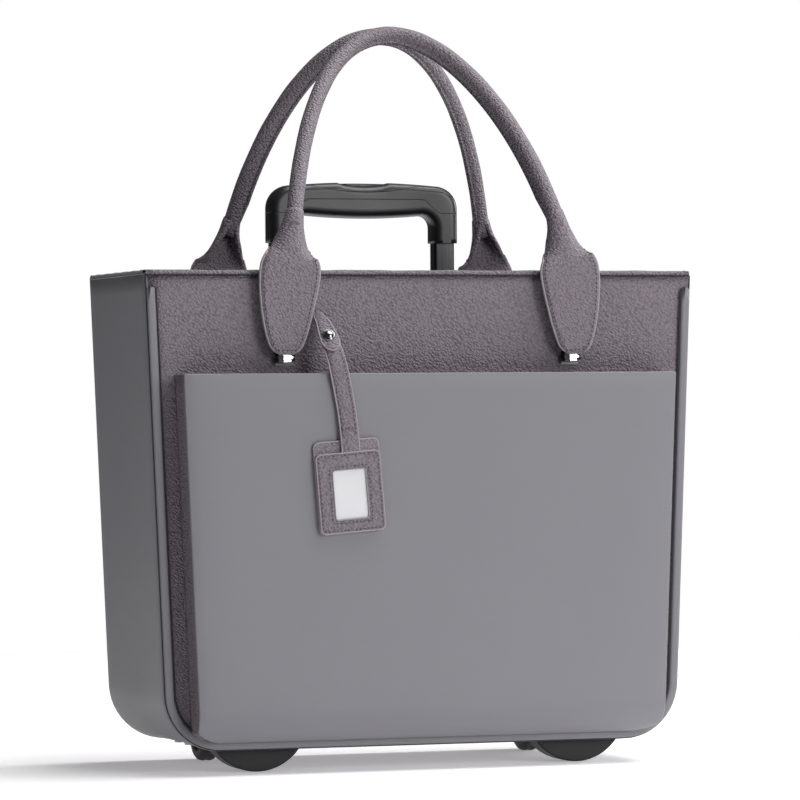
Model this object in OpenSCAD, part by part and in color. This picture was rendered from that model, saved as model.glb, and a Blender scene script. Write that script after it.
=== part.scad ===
// Rolling laptop case: a stiffened leatherette tote on two rear wheels and two front feet, with a
// two-stage pull handle at the back, two arched carrying handles and a hanging luggage tag.
// Millimetres, +Z up, the front looks towards -Y, the floor is Z = 0.

/* [Bag body] */
// Width of the bag at the rim
bag_top_w = 444; // [380:2:520]
// Width that the side walls would have at the underside
bag_base_w = 414; // [360:2:480]
// Depth of the gusset, front panel to back panel
bag_depth = 164; // [140:2:220]
// Height of the rim above the floor
rim_z = 383; // [340:1:480]
// Height of the underside above the floor
base_z = 17.5; // [12:0.5:24]
// Radius of the two lower corners
corner_r = 45; // [30:1:60]
// Thickness of the gusset, leatherette on board
gusset_t = 3; // [2:0.5:4]
// Thickness of the front and back panels
panel_t = 3; // [2:0.5:4]
// Thickness of the lining
lining_t = 1; // [0.8:0.1:1.5]
// Thickness of the board in the base
board_t = 3; // [2:0.5:4]

/* [Welt and rim] */
// Distance from the bag's outline to the welt
welt_inset = 2.5; // [1:0.5:5]
// Width of the flat welt round the edge of each panel
welt_w = 6.5; // [4:0.5:9]
// How far the welt stands proud of the panel
welt_proud = 2; // [1:0.5:3]
// Distance from the rim down to the welt's cut end
welt_drop = 13; // [8:1:30]
// Height of the binding on the rim
binding_h = 2.4; // [1.5:0.1:4]

/* [Front pocket] */
// How far the pocket stands out from the front panel
pocket_proud = 28; // [20:1:40]
// Distance from the rim down to the pocket's mouth
pocket_drop = 79; // [60:1:120]
// Distance from the bag's outline to the pocket's side
pocket_inset = 20; // [14:1:40]
// Thickness of the pocket's face
pocket_face_t = 3; // [2:0.5:4]
// Thickness of the pocket's side gussets
pocket_side_t = 2.5; // [1.5:0.5:4]
// Radius of the bend at the foot of the pocket's face
pocket_bend_r = 26; // [15:1:28]
// Radius of the magnetic snap's discs
snap_r = 8; // [6:0.5:10]

/* [Carrying handles] */
// Half the spacing of the front handle's ends
front_handle_half = 117; // [105:1:130]
// Half the spacing of the back handle's ends
back_handle_half = 116; // [112:1:130]
// How far the front handle sits to the right of the middle
front_handle_shift = 4; // [0:0.5:6]
// Height of the handle pins below the rim
pin_drop = 67; // [60:1:75]
// Height of each arch above its pins
arch_h = 255; // [200:1:300]
// How far the front arch leans in over the bag
front_lean = 95; // [80:1:100]
// How far the back arch leans in over the bag
back_lean = 67; // [60:1:72]
// Radius of the rolled grip
roll_r = 6; // [5:0.5:6.5]
// Height of the paddle-shaped end
paddle_h = 109; // [95:1:115]
// Thickness of the paddle-shaped end
paddle_t = 4.5; // [3:0.5:5]
// Width of the strap behind each paddle
inner_strap_w = 13; // [10:0.5:16]

/* [Luggage tag] */
// Width of the tag's holder
tag_w = 52; // [44:1:60]
// Height of the tag's holder
tag_h = 70; // [60:1:80]
// Thickness of the tag's holder
tag_t = 4.5; // [3.5:0.5:6]
// Width of the tag's strap
tag_strap_w = 14; // [12:1:18]
// Lean of the hanging tag from upright, in degrees
tag_tilt = 4.5; // [0:0.5:6]

/* [Pull handle] */
// Half the spacing of the two legs
leg_half = 68; // [62:1:70]
// Distance from the bag's middle back to the legs
trolley_back = 69; // [69:0.5:69.5]
// Width of the upper tube
tube_w = 17; // [15:0.5:18]
// Depth of the upper tube
tube_d = 13; // [12:0.5:14]
// Wall of every tube
tube_wall = 1.1; // [1:0.1:1.3]
// Clearance on each side between one tube and the next
tube_gap = 0.3; // [0.2:0.05:0.4]
// Travel of each of the two stages
stage_travel = 260; // [200:5:270]
// Width of the hand grip
grip_w = 158; // [150:1:160]
// Depth of the hand grip
grip_d = 24; // [20:1:25]
// Height of the grip's top above the rim
grip_rise = 74.5; // [68:0.5:90]
// Height of the grip, its legs included
grip_h = 48.5; // [44:0.5:56]
// Width of each of the grip's legs
grip_leg_w = 21.5; // [20:0.5:24]
// Height of the grip's bar in the middle
grip_bar_h = 29; // [26:0.5:32]
// Travel of the release button
button_travel = 3; // [2:0.5:4]

/* [Wheels and feet] */
// Radius of the wheels
wheel_r = 24; // [20:1:26]
// Width of the wheels
wheel_w = 15; // [12:1:18]
// Half the spacing of the wheels
wheel_half = 135; // [125:1:136]
// Distance from the bag's middle back to the axles
wheel_back = 62; // [56:1:64]
// Radius of the axles
axle_r = 2.5; // [2:0.25:3]
// Half the spacing of the front feet
foot_half = 130; // [110:1:140]
// Radius of the half-round feet
foot_r = 41.5; // [36:0.5:48]
// Thickness of the feet
foot_t = 22; // [16:1:28]
// Distance from the front panel back to the feet
foot_set = 16; // [10:1:24]

/* [Inside] */
// Height of the laptop divider
divider_h = 275; // [220:5:290]
// Thickness of the laptop divider
divider_t = 4; // [3:0.5:6]
// Depth of the laptop compartment
laptop_depth = 24; // [20:1:32]
// Distance from the rim down to the zip flaps' fold
flap_drop = 16; // [14:1:24]

/* [Hidden] */
$fn = 64;

far = 1000; // longer than anything here, for cutting shapes
gap = 0.3; // running gap between soft or flat neighbours
seat = 0.5; // gap between a hanging piece and what it hangs against
arc_steps = 16; // flats in a quarter turn of a sewn corner

// the handle's stack outwards from a panel: bracket, strap, paddle
pin_r = 1.5;
eye_r = 3.6;
pin_out = 5;
strap_out = 7;
strap_t = 2;
paddle_out = strap_out + paddle_t;
roll_out = strap_out + paddle_t / 2;

// the bag's middle plane, set so that the whole object is centred on Y = 0
mid_y = (pocket_proud + seat + tag_t - paddle_out) / 2;
front_y = mid_y - bag_depth / 2;
back_y = mid_y + bag_depth / 2;
in_front_y = front_y + panel_t + lining_t;

// side walls lean out from base to rim
side_lean = atan((bag_top_w - bag_base_w) / 2 / (rim_z - base_z));
corner_x = bag_base_w / 2 + corner_r * tan(side_lean) - corner_r / cos(side_lean);
corner_z = base_z + corner_r;
floor_z = base_z + gusset_t;
lining_floor_z = floor_z + lining_t;
board_top_z = lining_floor_z + board_t;
wall_top_z = rim_z - binding_h;
function side_x(z, inset) = bag_base_w / 2 + (z - base_z) * tan(side_lean) - inset / cos(side_lean);

// pull handle, from the inmost tube outwards
trolley_y = mid_y + trolley_back;
stage_grow = 2 * (tube_gap + tube_wall);
mid_w = tube_w + stage_grow;
mid_d = tube_d + stage_grow;
outer_w = mid_w + stage_grow;
outer_d = mid_d + stage_grow;
bezel_t = 4;
bezel_z = rim_z - 12;
collar_h = 6;
mid_top_z = bezel_z + bezel_t + seat;
grip_top_z = rim_z + grip_rise;
grip_foot_z = grip_top_z - grip_h;
tube_in_grip = 14;
trolley_base_h = 12;
tube_seat = 8;
outer_foot_z = floor_z + trolley_base_h - tube_seat;
mid_foot_z = outer_foot_z + 4;
top_foot_z = mid_foot_z + 4;
cover_t = 2;
cover_y = trolley_y - outer_d / 2 - 3;
cover_front_y = cover_y - lining_t;

// inside
divider_y = cover_front_y - laptop_depth - divider_t;
flap_t = 1.6;
teeth_w = 3;
teeth_t = 3;
flap_z = rim_z - flap_drop;
slider_wall = 1;
slider_inner = teeth_t / 2 - 0.4 + gap;
slider_half = slider_inner + slider_wall;
flap_front_y = in_front_y + seat + slider_half;
flap_rear_y = cover_front_y - seat - slider_half;
flap_h = (flap_rear_y - flap_front_y - gap) / 2 - teeth_w;
flap_w = 2 * side_x(flap_z - flap_h, gusset_t + lining_t) - 8;
slider_l = 14;
slider_reach = teeth_w - 0.2;

// wheels
wheel_y = mid_y + wheel_back;
bore_gap = 0.05;
well_w = wheel_w + 4;
housing_wall = 2;
housing_w = well_w + 2 * housing_wall;
housing_front_y = wheel_y - wheel_r - 1.5 - housing_wall;
housing_top_z = 2 * wheel_r + 2 + housing_wall;
housing_flange_w = 44;
housing_flange_t = 1.8;
axle_head = 2;
bay_w = housing_w + 2 * axle_head + 1;
screw_head_r = 3;
screw_r = 1.6;
screw_head_h = 1.6;
foot_screw_r = 1.9;

// handles and tag
pin_z = rim_z - pin_drop;
arch_z = pin_z + 3;
arch_rise = arch_h - 3;
bend_z = rim_z + 5;
paddle_top_turn = asin(paddle_h / arch_rise);
tag_pivot_z = pin_z + 37;
tag_roll_r = 3;

// ---------- shared shapes ----------

// Points along an arc, from one angle to another.
function arc(x, y, r, from, to) =
    [for (i = [0 : arc_steps]) let (a = from + (to - from) * i / arc_steps)
        [x + r * cos(a), y + r * sin(a)]];
function flip_x(points) = [for (i = [len(points) - 1 : -1 : 0]) [-points[i][0], points[i][1]]];

// The bag's outline in the XZ plane, drawn in 2D, moved inwards by inset and cut level at top.
module outline_2d(inset, top) {
    right = concat([[side_x(top, inset), top]],
        arc(corner_x, corner_z, corner_r - inset, -side_lean, -90));
    polygon(concat(right, flip_x(right)));
}

// A slab of that outline between two Y planes.
module slab(y0, y1, inset, top) {
    translate([0, y1, 0])
        rotate([90, 0, 0])
            linear_extrude(y1 - y0)
                outline_2d(inset, top);
}

// A box given by its lowest and highest corners.
module block(low, high) {
    translate(low) cube(high - low);
}

// A rectangle with round corners, centred.
module round_rect(w, d, r) {
    square([w - 2 * r, d], center = true);
    square([w, d - 2 * r], center = true);
    for (x = [-1, 1], y = [-1, 1])
        translate([x * (w / 2 - r), y * (d / 2 - r)]) circle(r = r);
}

// A cylinder along X, centred on its length.
module bar_x(r, l) {
    rotate([0, 90, 0]) cylinder(r = r, h = l, center = true);
}

// Both legs of the pull handle.
module both_legs() {
    for (s = [-1, 1])
        translate([s * leg_half, trolley_y, 0]) children();
}

// A rectangular tube between two heights.
module leg_tube(w, d, z0, z1) {
    translate([0, 0, z0])
        linear_extrude(z1 - z0)
            difference() {
                round_rect(w, d, 2);
                round_rect(w - 2 * tube_wall, d - 2 * tube_wall, 1);
            }
}

// Places a shape on a panel: side -1 is the front, 1 the back, and y then runs outwards.
module on_panel(side) {
    translate([side < 0 ? front_handle_shift : 0, side < 0 ? front_y : back_y, 0])
        mirror([0, side < 0 ? 1 : 0, 0])
            children();
}

// A closed skin through equal rings of points.
module skin(rings) {
    n = len(rings[0]);
    last = len(rings) - 1;
    points = [for (ring = rings) for (p = ring) p];
    walls = [for (i = [0 : last - 1]) for (j = [0 : n - 1])
        [(i + 1) * n + j, (i + 1) * n + (j + 1) % n, i * n + (j + 1) % n, i * n + j]];
    ends = [[for (j = [0 : n - 1]) j], [for (j = [n - 1 : -1 : 0]) last * n + j]];
    polyhedron(points, concat(walls, ends));
}

// ---------- handle geometry ----------

// A point of the arch at a turn from its right end, with y outwards from the panel.
function lean_at(z, lean, bow) =
    z < bend_z ? 0 : lean * pow((z - bend_z) / (arch_z + arch_rise - bend_z), bow);
function arch_point(turn, half, lean, bow) =
    let (z = arch_z + arch_rise * sin(turn))
    [half * cos(turn), roll_out - lean_at(z, lean, bow), z];
function unit(v) = v / norm(v);
function arch_way(turn, half, lean, bow) =
    unit(arch_point(turn + 0.5, half, lean, bow) - arch_point(turn - 0.5, half, lean, bow));

// A ring round the arch: each pair is how far it lies out of the arch, and away from the bag.
function arch_ring(turn, half, lean, bow, pairs) =
    let (at = arch_point(turn, half, lean, bow),
         way = arch_way(turn, half, lean, bow),
         out = unit(cross([0, 1, 0], way)),
         away = cross(way, out))
    [for (p = pairs) at + p[0] * out + p[1] * away];

// The rolled grip is a cord with a sewn seam lip on its inner, bag-side edge.
lip_reach = 10.3;
roll_pairs = [for (i = [0 : 11])
    let (a = 225 + 30 * i, r = i == 0 ? lip_reach : (i == 1 || i == 11) ? roll_r * 1.08 : roll_r)
    [r * cos(a), r * sin(a)]];

// Half the paddle's width against the height above its foot.
paddle_widths = [[0, 6.5], [2, 8.6], [7, 13.2], [21, 17.2], [40, 21.4], [55, 23.3],
    [64, 23.6], [70, 22], [79, 17], [89, 12], [98, 8.2], [109, 6.2]];
function paddle_half(v) = lookup(v * 109 / paddle_h, paddle_widths);
function paddle_pairs(v) =
    let (w = paddle_half(v), t = paddle_t / 2)
    [[-w, -t], [w, -t], [w, t], [-w, t]];

module handle_roll(side, half, lean, bow) {
    start = paddle_top_turn + 0.2;
    steps = 44;
    on_panel(side)
        skin([for (i = [0 : steps])
            let (turn = start + (180 - 2 * start) * i / steps)
            arch_ring(turn, half, lean, bow, roll_pairs)]);
}

module paddle(side, end, half, lean, bow) {
    steps = 22;
    on_panel(side)
        mirror([end < 0 ? 1 : 0, 0, 0])
            skin([for (i = [0 : steps])
                let (turn = paddle_top_turn * i / steps,
                     v = arch_rise * sin(turn))
                arch_ring(turn, half, lean, bow, paddle_pairs(v))]);
}

// The strap behind each paddle, flat against it from the clip to above the rim.
module handle_straps(side, half) {
    on_panel(side)
        for (end = [-1, 1])
            translate([end * (half - 1), 0, 0])
                block([-inner_strap_w / 2, strap_out - strap_t, pin_z + eye_r + 1],
                      [inner_strap_w / 2, strap_out, bend_z - 2]);
}

// The clip: an eye round the pin and a tongue sewn up behind the strap.
module handle_clips(side, half) {
    tongue_t = 1.5;
    on_panel(side)
        for (end = [-1, 1])
            translate([end * (half - 1), 0, 0])
                difference() {
                    union() {
                        translate([0, pin_out, pin_z]) bar_x(eye_r, 9.5);
                        block([-4.75, strap_out - strap_t - tongue_t, pin_z],
                              [4.75, strap_out - strap_t, pin_z + 28]);
                    }
                    translate([0, pin_out, pin_z]) bar_x(pin_r + bore_gap, far);
                }
}

// The bracket riveted to the panel: a plate, two ears and the pin between them.
module handle_brackets(side, half) {
    on_panel(side)
        for (end = [-1, 1])
            translate([end * (half - 1), 0, 0]) {
                block([-7, 0, pin_z - 6], [7, 1, pin_z + 10]);
                for (ear = [-1, 1])
                    translate([ear * 6, 0, pin_z]) {
                        block([-1, 0, -2.5], [1, pin_out, 2.5]);
                        translate([0, pin_out, 0]) bar_x(2.5, 2);
                    }
                translate([0, pin_out, pin_z]) bar_x(pin_r, 12);
            }
}

// ---------- tag geometry ----------

// Stations down the tag's strap: across, out from the panel, up, and half the width there.
holder_z = tag_pivot_z - 100 - tag_h / 2;
holder_out = pocket_proud + seat + tag_t / 2;
tag_strap_t = 2.5;
tag_hang_x = -front_handle_half + 23;
snap_station = 2;
tag_stations = [
    [tag_hang_x + 3, 3.2, tag_pivot_z - 2.5, 2.6],
    [tag_hang_x + 5.6, 9, tag_pivot_z - 10, tag_strap_w * 0.32],
    [tag_hang_x + 7.4, 19, tag_pivot_z - 22, tag_strap_w * 0.46],
    [tag_hang_x + 10.5, holder_out - 1, tag_pivot_z - 39, tag_strap_w / 2],
    [tag_hang_x + 14.6, holder_out, tag_pivot_z - 59, tag_strap_w / 2],
    [tag_hang_x + 18, holder_out, tag_pivot_z - 78, tag_strap_w / 2],
    [tag_hang_x + 20.2, holder_out, tag_pivot_z - 99, tag_strap_w / 2]
];
function station(i) = [for (k = [0 : 2]) tag_stations[i][k]];
function station_way(i) =
    unit(station(min(i + 1, len(tag_stations) - 1)) - station(max(i - 1, 0)));
snap_way = station_way(snap_station);
snap_across = unit(cross(snap_way, [0, 1, 0]));
snap_out = cross(snap_across, snap_way);

// ---------- the bag ----------

// Space round each wheel housing that the soft parts leave free.
module wheel_bays() {
    for (s = [-1, 1])
        block([s * wheel_half - bay_w / 2, housing_front_y - gap, base_z - 5],
              [s * wheel_half + bay_w / 2, back_y + far / 2, housing_top_z + gap]);
}

// Holes for the screws that come up through the base.
module foot_screw_places() {
    for (s = [-1, 1], x = [-1, 1])
        translate([s * foot_half + x * foot_r * 0.4, front_y + foot_set + foot_t / 2, 0])
            children();
}
module housing_screw_places() {
    for (s = [-1, 1], x = [-1, 1], y = [0.2, 0.8])
        translate([s * wheel_half + x * (housing_flange_w / 2 - 3),
                   housing_front_y + y * (back_y - housing_front_y), 0])
            children();
}

module gusset() {
    color("dimgray")
        difference() {
            slab(front_y, back_y, 0, wall_top_z);
            slab(front_y - 1, back_y + 1, gusset_t, far);
            wheel_bays();
            foot_screw_places() cylinder(r = foot_screw_r, h = far, center = true);
            housing_screw_places() cylinder(r = screw_r, h = far, center = true);
        }
}

module front_panel() {
    color("rosybrown") slab(front_y, front_y + panel_t, gusset_t, wall_top_z);
}

module back_panel() {
    color("rosybrown")
        difference() {
            slab(back_y - panel_t, back_y, gusset_t, wall_top_z);
            wheel_bays();
        }
}

module welt(y0) {
    difference() {
        slab(y0, y0 + welt_proud, welt_inset, rim_z - welt_drop);
        slab(y0 - 1, y0 + welt_proud + 1, welt_inset + welt_w, far);
    }
}

module front_welt() {
    color("gray") welt(front_y - welt_proud);
}

module back_welt() {
    color("gray")
        difference() {
            welt(back_y);
            wheel_bays();
        }
}

module panel_binding(y0, y1) {
    slab(y0, y1, gusset_t, rim_z);
}

module rim_binding_front() {
    color("rosybrown")
        intersection() {
            panel_binding(front_y - 0.4, in_front_y);
            block([-far, front_y - 1, wall_top_z], [far, in_front_y, rim_z]);
        }
}

module rim_binding_back() {
    color("rosybrown")
        intersection() {
            panel_binding(back_y - panel_t, back_y + 0.4);
            block([-far, back_y - panel_t, wall_top_z], [far, back_y + 1, rim_z]);
        }
}

module rim_binding_sides() {
    color("gray")
        intersection() {
            difference() {
                slab(front_y, back_y, 0, rim_z);
                slab(front_y - 1, back_y + 1, gusset_t, far);
            }
            block([-far, front_y, wall_top_z], [far, back_y, rim_z]);
        }
}

// ---------- front pocket ----------

// The pocket's foot covers the upper part of the welt.
pocket_foot_inset = welt_inset + welt_w * 0.6;
pocket_foot_z = base_z + pocket_foot_inset;

// The pocket's side view, y outwards and z up, moved inwards by inset.
module pocket_side_2d(inset) {
    out = pocket_proud - inset;
    low = pocket_foot_z + inset;
    r = pocket_bend_r - inset;
    top = rim_z - pocket_drop + (inset > 0 ? 1 : 0);
    polygon(concat([[0, low], [0, top], [out, top]], arc(out - r, low + r, r, 0, -90)));
}

// The space between the pocket's two sides, seen from the front.
module pocket_width(inset) {
    translate([0, front_y, 0])
        rotate([90, 0, 0])
            linear_extrude(pocket_proud + 1)
                polygon([[side_x(rim_z, pocket_inset + inset), rim_z],
                    [side_x(base_z, pocket_inset + inset), base_z],
                    [-side_x(base_z, pocket_inset + inset), base_z],
                    [-side_x(rim_z, pocket_inset + inset), rim_z]]);
}

module pocket_run(inset) {
    translate([0, front_y, 0])
        mirror([0, 1, 0])
            rotate([90, 0, 90])
                linear_extrude(far, center = true)
                    pocket_side_2d(inset);
}

module front_pocket_face() {
    color("slategray")
        intersection() {
            difference() {
                pocket_run(0);
                pocket_run(pocket_face_t);
            }
            pocket_width(0);
            slab(front_y - pocket_proud - 1, front_y - welt_proud, pocket_foot_inset, far);
        }
}

// The pocket seen from the front: its two sides, and below them the bag's round corners.
module pocket_shape(inset) {
    intersection() {
        pocket_width(inset);
        slab(front_y - pocket_proud - 1, front_y, pocket_foot_inset + inset, far);
    }
}

module front_pocket_sides() {
    top = rim_z - pocket_drop;
    color("rosybrown")
        intersection() {
            difference() {
                pocket_shape(0);
                pocket_shape(pocket_side_t);
            }
            pocket_run(pocket_face_t);
            union() {
                slab(front_y - pocket_proud - 1, front_y - welt_proud, 0, top);
                slab(front_y - pocket_proud - 1, front_y, welt_inset + welt_w, top);
            }
        }
}

// The two discs of the magnetic snap that holds the pocket shut.
module pocket_snap_discs() {
    disc_t = 2.5;
    color("silver")
        for (y = [front_y - disc_t, front_y - pocket_proud + pocket_face_t])
            translate([0, y, rim_z - pocket_drop - snap_r - 10])
                rotate([-90, 0, 0])
                    cylinder(r = snap_r, h = disc_t);
}

// ---------- inside ----------

module lining() {
    color("lightgray")
        difference() {
            slab(front_y + panel_t, cover_y, gusset_t, wall_top_z);
            slab(in_front_y, cover_front_y, gusset_t + lining_t, far);
            wheel_bays();
            foot_screw_places() cylinder(r = foot_screw_r, h = far, center = true);
        }
}

module base_board() {
    color("darkgray")
        difference() {
            block([-corner_x + 2, in_front_y, lining_floor_z],
                  [corner_x - 2, cover_front_y, board_top_z]);
            wheel_bays();
            foot_screw_places() cylinder(r = foot_screw_r, h = far, center = true);
        }
}

// The board between the compartments and the pull handle's tubes.
module trolley_cover() {
    color("gray")
        difference() {
            slab(cover_y, cover_y + cover_t, gusset_t, bezel_z);
            wheel_bays();
        }
}

module laptop_divider() {
    color("darkgray")
        intersection() {
            slab(divider_y, divider_y + divider_t, gusset_t + lining_t + seat, board_top_z + divider_h);
            block([-far, -far, board_top_z], [far, far, far]);
        }
}

// A flap hangs from a corded fold; its lower edge carries half of the zip.
module zip_flap(y) {
    block([-flap_w / 2, y - flap_t / 2, flap_z - flap_h], [flap_w / 2, y + flap_t / 2, flap_z]);
    translate([0, y, flap_z]) bar_x(slider_half, flap_w);
}

module zip_flap_front() {
    color("dimgray") zip_flap(flap_front_y);
}

module zip_flap_rear() {
    color("dimgray") zip_flap(flap_rear_y);
}

// The zip's chain; the rear half stops short where the slider parks.
module zip_chain(y, end) {
    half = flap_w / 2 - end;
    block([-half, y - teeth_t / 2 + 0.4, flap_z - flap_h - teeth_w],
          [half, y + teeth_t / 2 - 0.4, flap_z - flap_h]);
}

module zip_teeth_front() {
    color("black") zip_chain(flap_front_y, 2);
}

module zip_teeth_rear() {
    color("black") zip_chain(flap_rear_y, slider_l + 8);
}

slider_x = -flap_w / 2 + 4 + slider_l / 2;
module zip_slider() {
    edge_z = flap_z - flap_h - teeth_w;
    color("silver")
        translate([slider_x, flap_front_y, edge_z]) {
            for (s = [-1, 1])
                block([-slider_l / 2, s > 0 ? slider_inner : -slider_half, -slider_reach],
                      [slider_l / 2, s > 0 ? slider_half : -slider_inner, slider_reach]);
            block([-slider_l / 2, -slider_half, -slider_reach],
                  [slider_l / 2, slider_half, -gap - 0.6]);
        }
}

// ---------- pull handle ----------

module trolley_base() {
    color("black")
        difference() {
            block([-leg_half - outer_w / 2 - 6, cover_y + cover_t, floor_z],
                  [leg_half + outer_w / 2 + 6, back_y - panel_t, floor_z + trolley_base_h]);
            both_legs()
                translate([0, 0, outer_foot_z])
                    linear_extrude(far) round_rect(outer_w, outer_d, 2);
        }
}

module trolley_outer_tubes() {
    color("black") both_legs() leg_tube(outer_w, outer_d, outer_foot_z, bezel_z);
}

module trolley_bezel() {
    color("black")
        difference() {
            block([-leg_half - outer_w / 2 - 10, cover_y + cover_t + gap, bezel_z],
                  [leg_half + outer_w / 2 + 10, back_y - panel_t, bezel_z + bezel_t]);
            both_legs()
                translate([0, 0, bezel_z - 1])
                    linear_extrude(bezel_t + 2)
                        round_rect(mid_w + 2 * tube_gap, mid_d + 2 * tube_gap, 2);
        }
}

module trolley_mid_tubes() {
    color("dimgray") both_legs() leg_tube(mid_w, mid_d, mid_foot_z, mid_top_z);
}

module trolley_mid_collars() {
    color("black")
        both_legs()
            translate([0, 0, mid_top_z])
                linear_extrude(collar_h)
                    difference() {
                        round_rect(mid_w + 2, mid_d + 2, 3);
                        round_rect(tube_w + 2 * tube_gap, tube_d + 2 * tube_gap, 2);
                    }
}

module trolley_top_tubes() {
    color("black") both_legs() leg_tube(tube_w, tube_d, top_foot_z, grip_foot_z + tube_in_grip);
}

// The grip's outline from the front, both legs and the bar, and its plan.
module grip_front_2d() {
    outer_r = 18;
    inner_r = 8;
    crown_r = 700;
    inner_w = grip_w - 2 * grip_leg_w;
    inner_top = grip_top_z - grip_bar_h;
    intersection() {
        difference() {
            union() {
                translate([-grip_w / 2, grip_foot_z]) square([grip_w, grip_h - outer_r]);
                translate([-grip_w / 2 + outer_r, grip_foot_z]) square([grip_w - 2 * outer_r, grip_h]);
                for (s = [-1, 1])
                    translate([s * (grip_w / 2 - outer_r), grip_top_z - outer_r]) circle(r = outer_r);
            }
            translate([-inner_w / 2, grip_foot_z - 1]) square([inner_w, inner_top - inner_r - grip_foot_z + 1]);
            translate([-inner_w / 2 + inner_r, grip_foot_z - 1])
                square([inner_w - 2 * inner_r, inner_top - grip_foot_z + 1]);
            for (s = [-1, 1])
                translate([s * (inner_w / 2 - inner_r), inner_top - inner_r]) circle(r = inner_r);
        }
        translate([0, grip_top_z - crown_r]) circle(r = crown_r, $fn = 360);
    }
}

module grip_block() {
    intersection() {
        translate([0, trolley_y + grip_d / 2, 0])
            rotate([90, 0, 0])
                linear_extrude(grip_d)
                    grip_front_2d();
        translate([0, trolley_y, grip_foot_z - 1])
            linear_extrude(grip_h + 2)
                round_rect(grip_w, grip_d, 7);
    }
}

// Everything above the parting line of the grip, which rises towards the middle.
split_r = 330;
split_top_z = grip_top_z - 15;
module above_split() {
    difference() {
        block([-far, -far, grip_foot_z], [far, far, far]);
        translate([0, 0, split_top_z - split_r])
            rotate([90, 0, 0])
                cylinder(r = split_r, h = far, center = true, $fn = 360);
    }
}

// Room in the grip for the linkage, the rods and the tubes.
button_l = 34;
button_w = 11.4;
link_t = 3;
link_z = grip_top_z - 14;
rod_r = 2;
module grip_rooms() {
    block([-leg_half - 4, trolley_y - 4, link_z - link_t - button_travel - gap],
          [leg_half + 4, trolley_y + 4, link_z + gap]);
    block([-button_l / 2 - gap, trolley_y - button_w / 2 - gap, link_z - button_travel - gap],
          [button_l / 2 + gap, trolley_y + button_w / 2 + gap, far]);
    both_legs() {
        translate([0, 0, grip_foot_z - 1])
            linear_extrude(tube_in_grip + 1) round_rect(tube_w, tube_d, 2);
        translate([0, 0, grip_foot_z])
            cylinder(r = rod_r + 0.5, h = link_z - grip_foot_z);
    }
}

module grip_lower() {
    color("black")
        difference() {
            grip_block();
            above_split();
            grip_rooms();
        }
}

module grip_upper() {
    color("black")
        difference() {
            intersection() {
                grip_block();
                above_split();
            }
            grip_rooms();
        }
}

// The push button, dished on top, stands 1.5 below the grip's crown.
module release_button() {
    dish_r = 90;
    top = grip_top_z - 1.5;
    color("black")
        difference() {
            translate([0, trolley_y, link_z])
                linear_extrude(top - link_z)
                    round_rect(button_l, button_w, 3);
            translate([0, trolley_y, top + dish_r - 1.6])
                rotate([90, 0, 0])
                    cylinder(r = dish_r, h = button_w + 2, center = true, $fn = 180);
        }
}

// The bar under the button and the two rods that reach down the tubes to the catches.
module release_linkage() {
    color("silver") {
        block([-leg_half - 3, trolley_y - 3, link_z - link_t], [leg_half + 3, trolley_y + 3, link_z]);
        both_legs()
            translate([0, 0, top_foot_z + 30])
                cylinder(r = rod_r, h = link_z - link_t - top_foot_z - 30);
    }
}

// ---------- wheels and feet ----------

module wheel_housing(s) {
    x = s * wheel_half;
    color("black")
        difference() {
            union() {
                block([x - housing_w / 2, housing_front_y, base_z - housing_flange_t],
                      [x + housing_w / 2, back_y - gap, housing_top_z]);
                block([x - housing_flange_w / 2, housing_front_y - 4, base_z - housing_flange_t],
                      [x + housing_flange_w / 2, back_y - gap, base_z]);
            }
            block([x - well_w / 2, housing_front_y + housing_wall, base_z - 5],
                  [x + well_w / 2, far, housing_top_z - housing_wall]);
            translate([x, wheel_y, wheel_r]) bar_x(axle_r, far / 10);
            housing_screw_places() cylinder(r = screw_r, h = far, center = true);
        }
}

module wheel_housing_left() { wheel_housing(-1); }
module wheel_housing_right() { wheel_housing(1); }

module wheel_axles() {
    color("silver")
        for (s = [-1, 1])
            translate([s * wheel_half, wheel_y, wheel_r]) {
                bar_x(axle_r, housing_w);
                for (end = [-1, 1])
                    translate([end * (housing_w + axle_head) / 2, 0, 0]) bar_x(axle_r + 2, axle_head);
            }
}

module housing_screws() {
    color("silver")
        housing_screw_places() {
            translate([0, 0, base_z - housing_flange_t - screw_head_h])
                cylinder(r = screw_head_r, h = screw_head_h);
            translate([0, 0, base_z - housing_flange_t])
                cylinder(r = screw_r, h = housing_flange_t + gusset_t);
        }
}

module wheel_hub(s) {
    boss = 7;
    color("gray")
        translate([s * wheel_half, wheel_y, wheel_r])
            difference() {
                union() {
                    bar_x(wheel_r * 0.62, wheel_w - 3);
                    bar_x(boss, wheel_w + 2);
                }
                bar_x(axle_r + bore_gap, far);
            }
}

module wheel_hub_left() { wheel_hub(-1); }
module wheel_hub_right() { wheel_hub(1); }

module wheel_tyre(s) {
    edge = 4;
    color("black")
        translate([s * wheel_half, wheel_y, wheel_r])
            rotate([0, 90, 0])
                rotate_extrude($fn = 96)
                    difference() {
                        translate([wheel_r / 2, 0])
                            intersection() {
                                round_rect(wheel_r, wheel_w, edge);
                                translate([0, -far / 2]) square(far);
                            }
                        translate([-1, -far / 2]) square([wheel_r * 0.62 + 1, far]);
                    }
}

module wheel_tyre_left() { wheel_tyre(-1); }
module wheel_tyre_right() { wheel_tyre(1); }

module front_foot(s) {
    color("black")
        difference() {
            translate([s * foot_half, front_y + foot_set, foot_r])
                rotate([-90, 0, 0])
                    cylinder(r = foot_r, h = foot_t, $fn = 128);
            block([-far, -far, base_z], [far, far, far]);
            foot_screw_places() cylinder(r = foot_screw_r, h = far, center = true);
        }
}

module front_foot_left() { front_foot(-1); }
module front_foot_right() { front_foot(1); }

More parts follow.
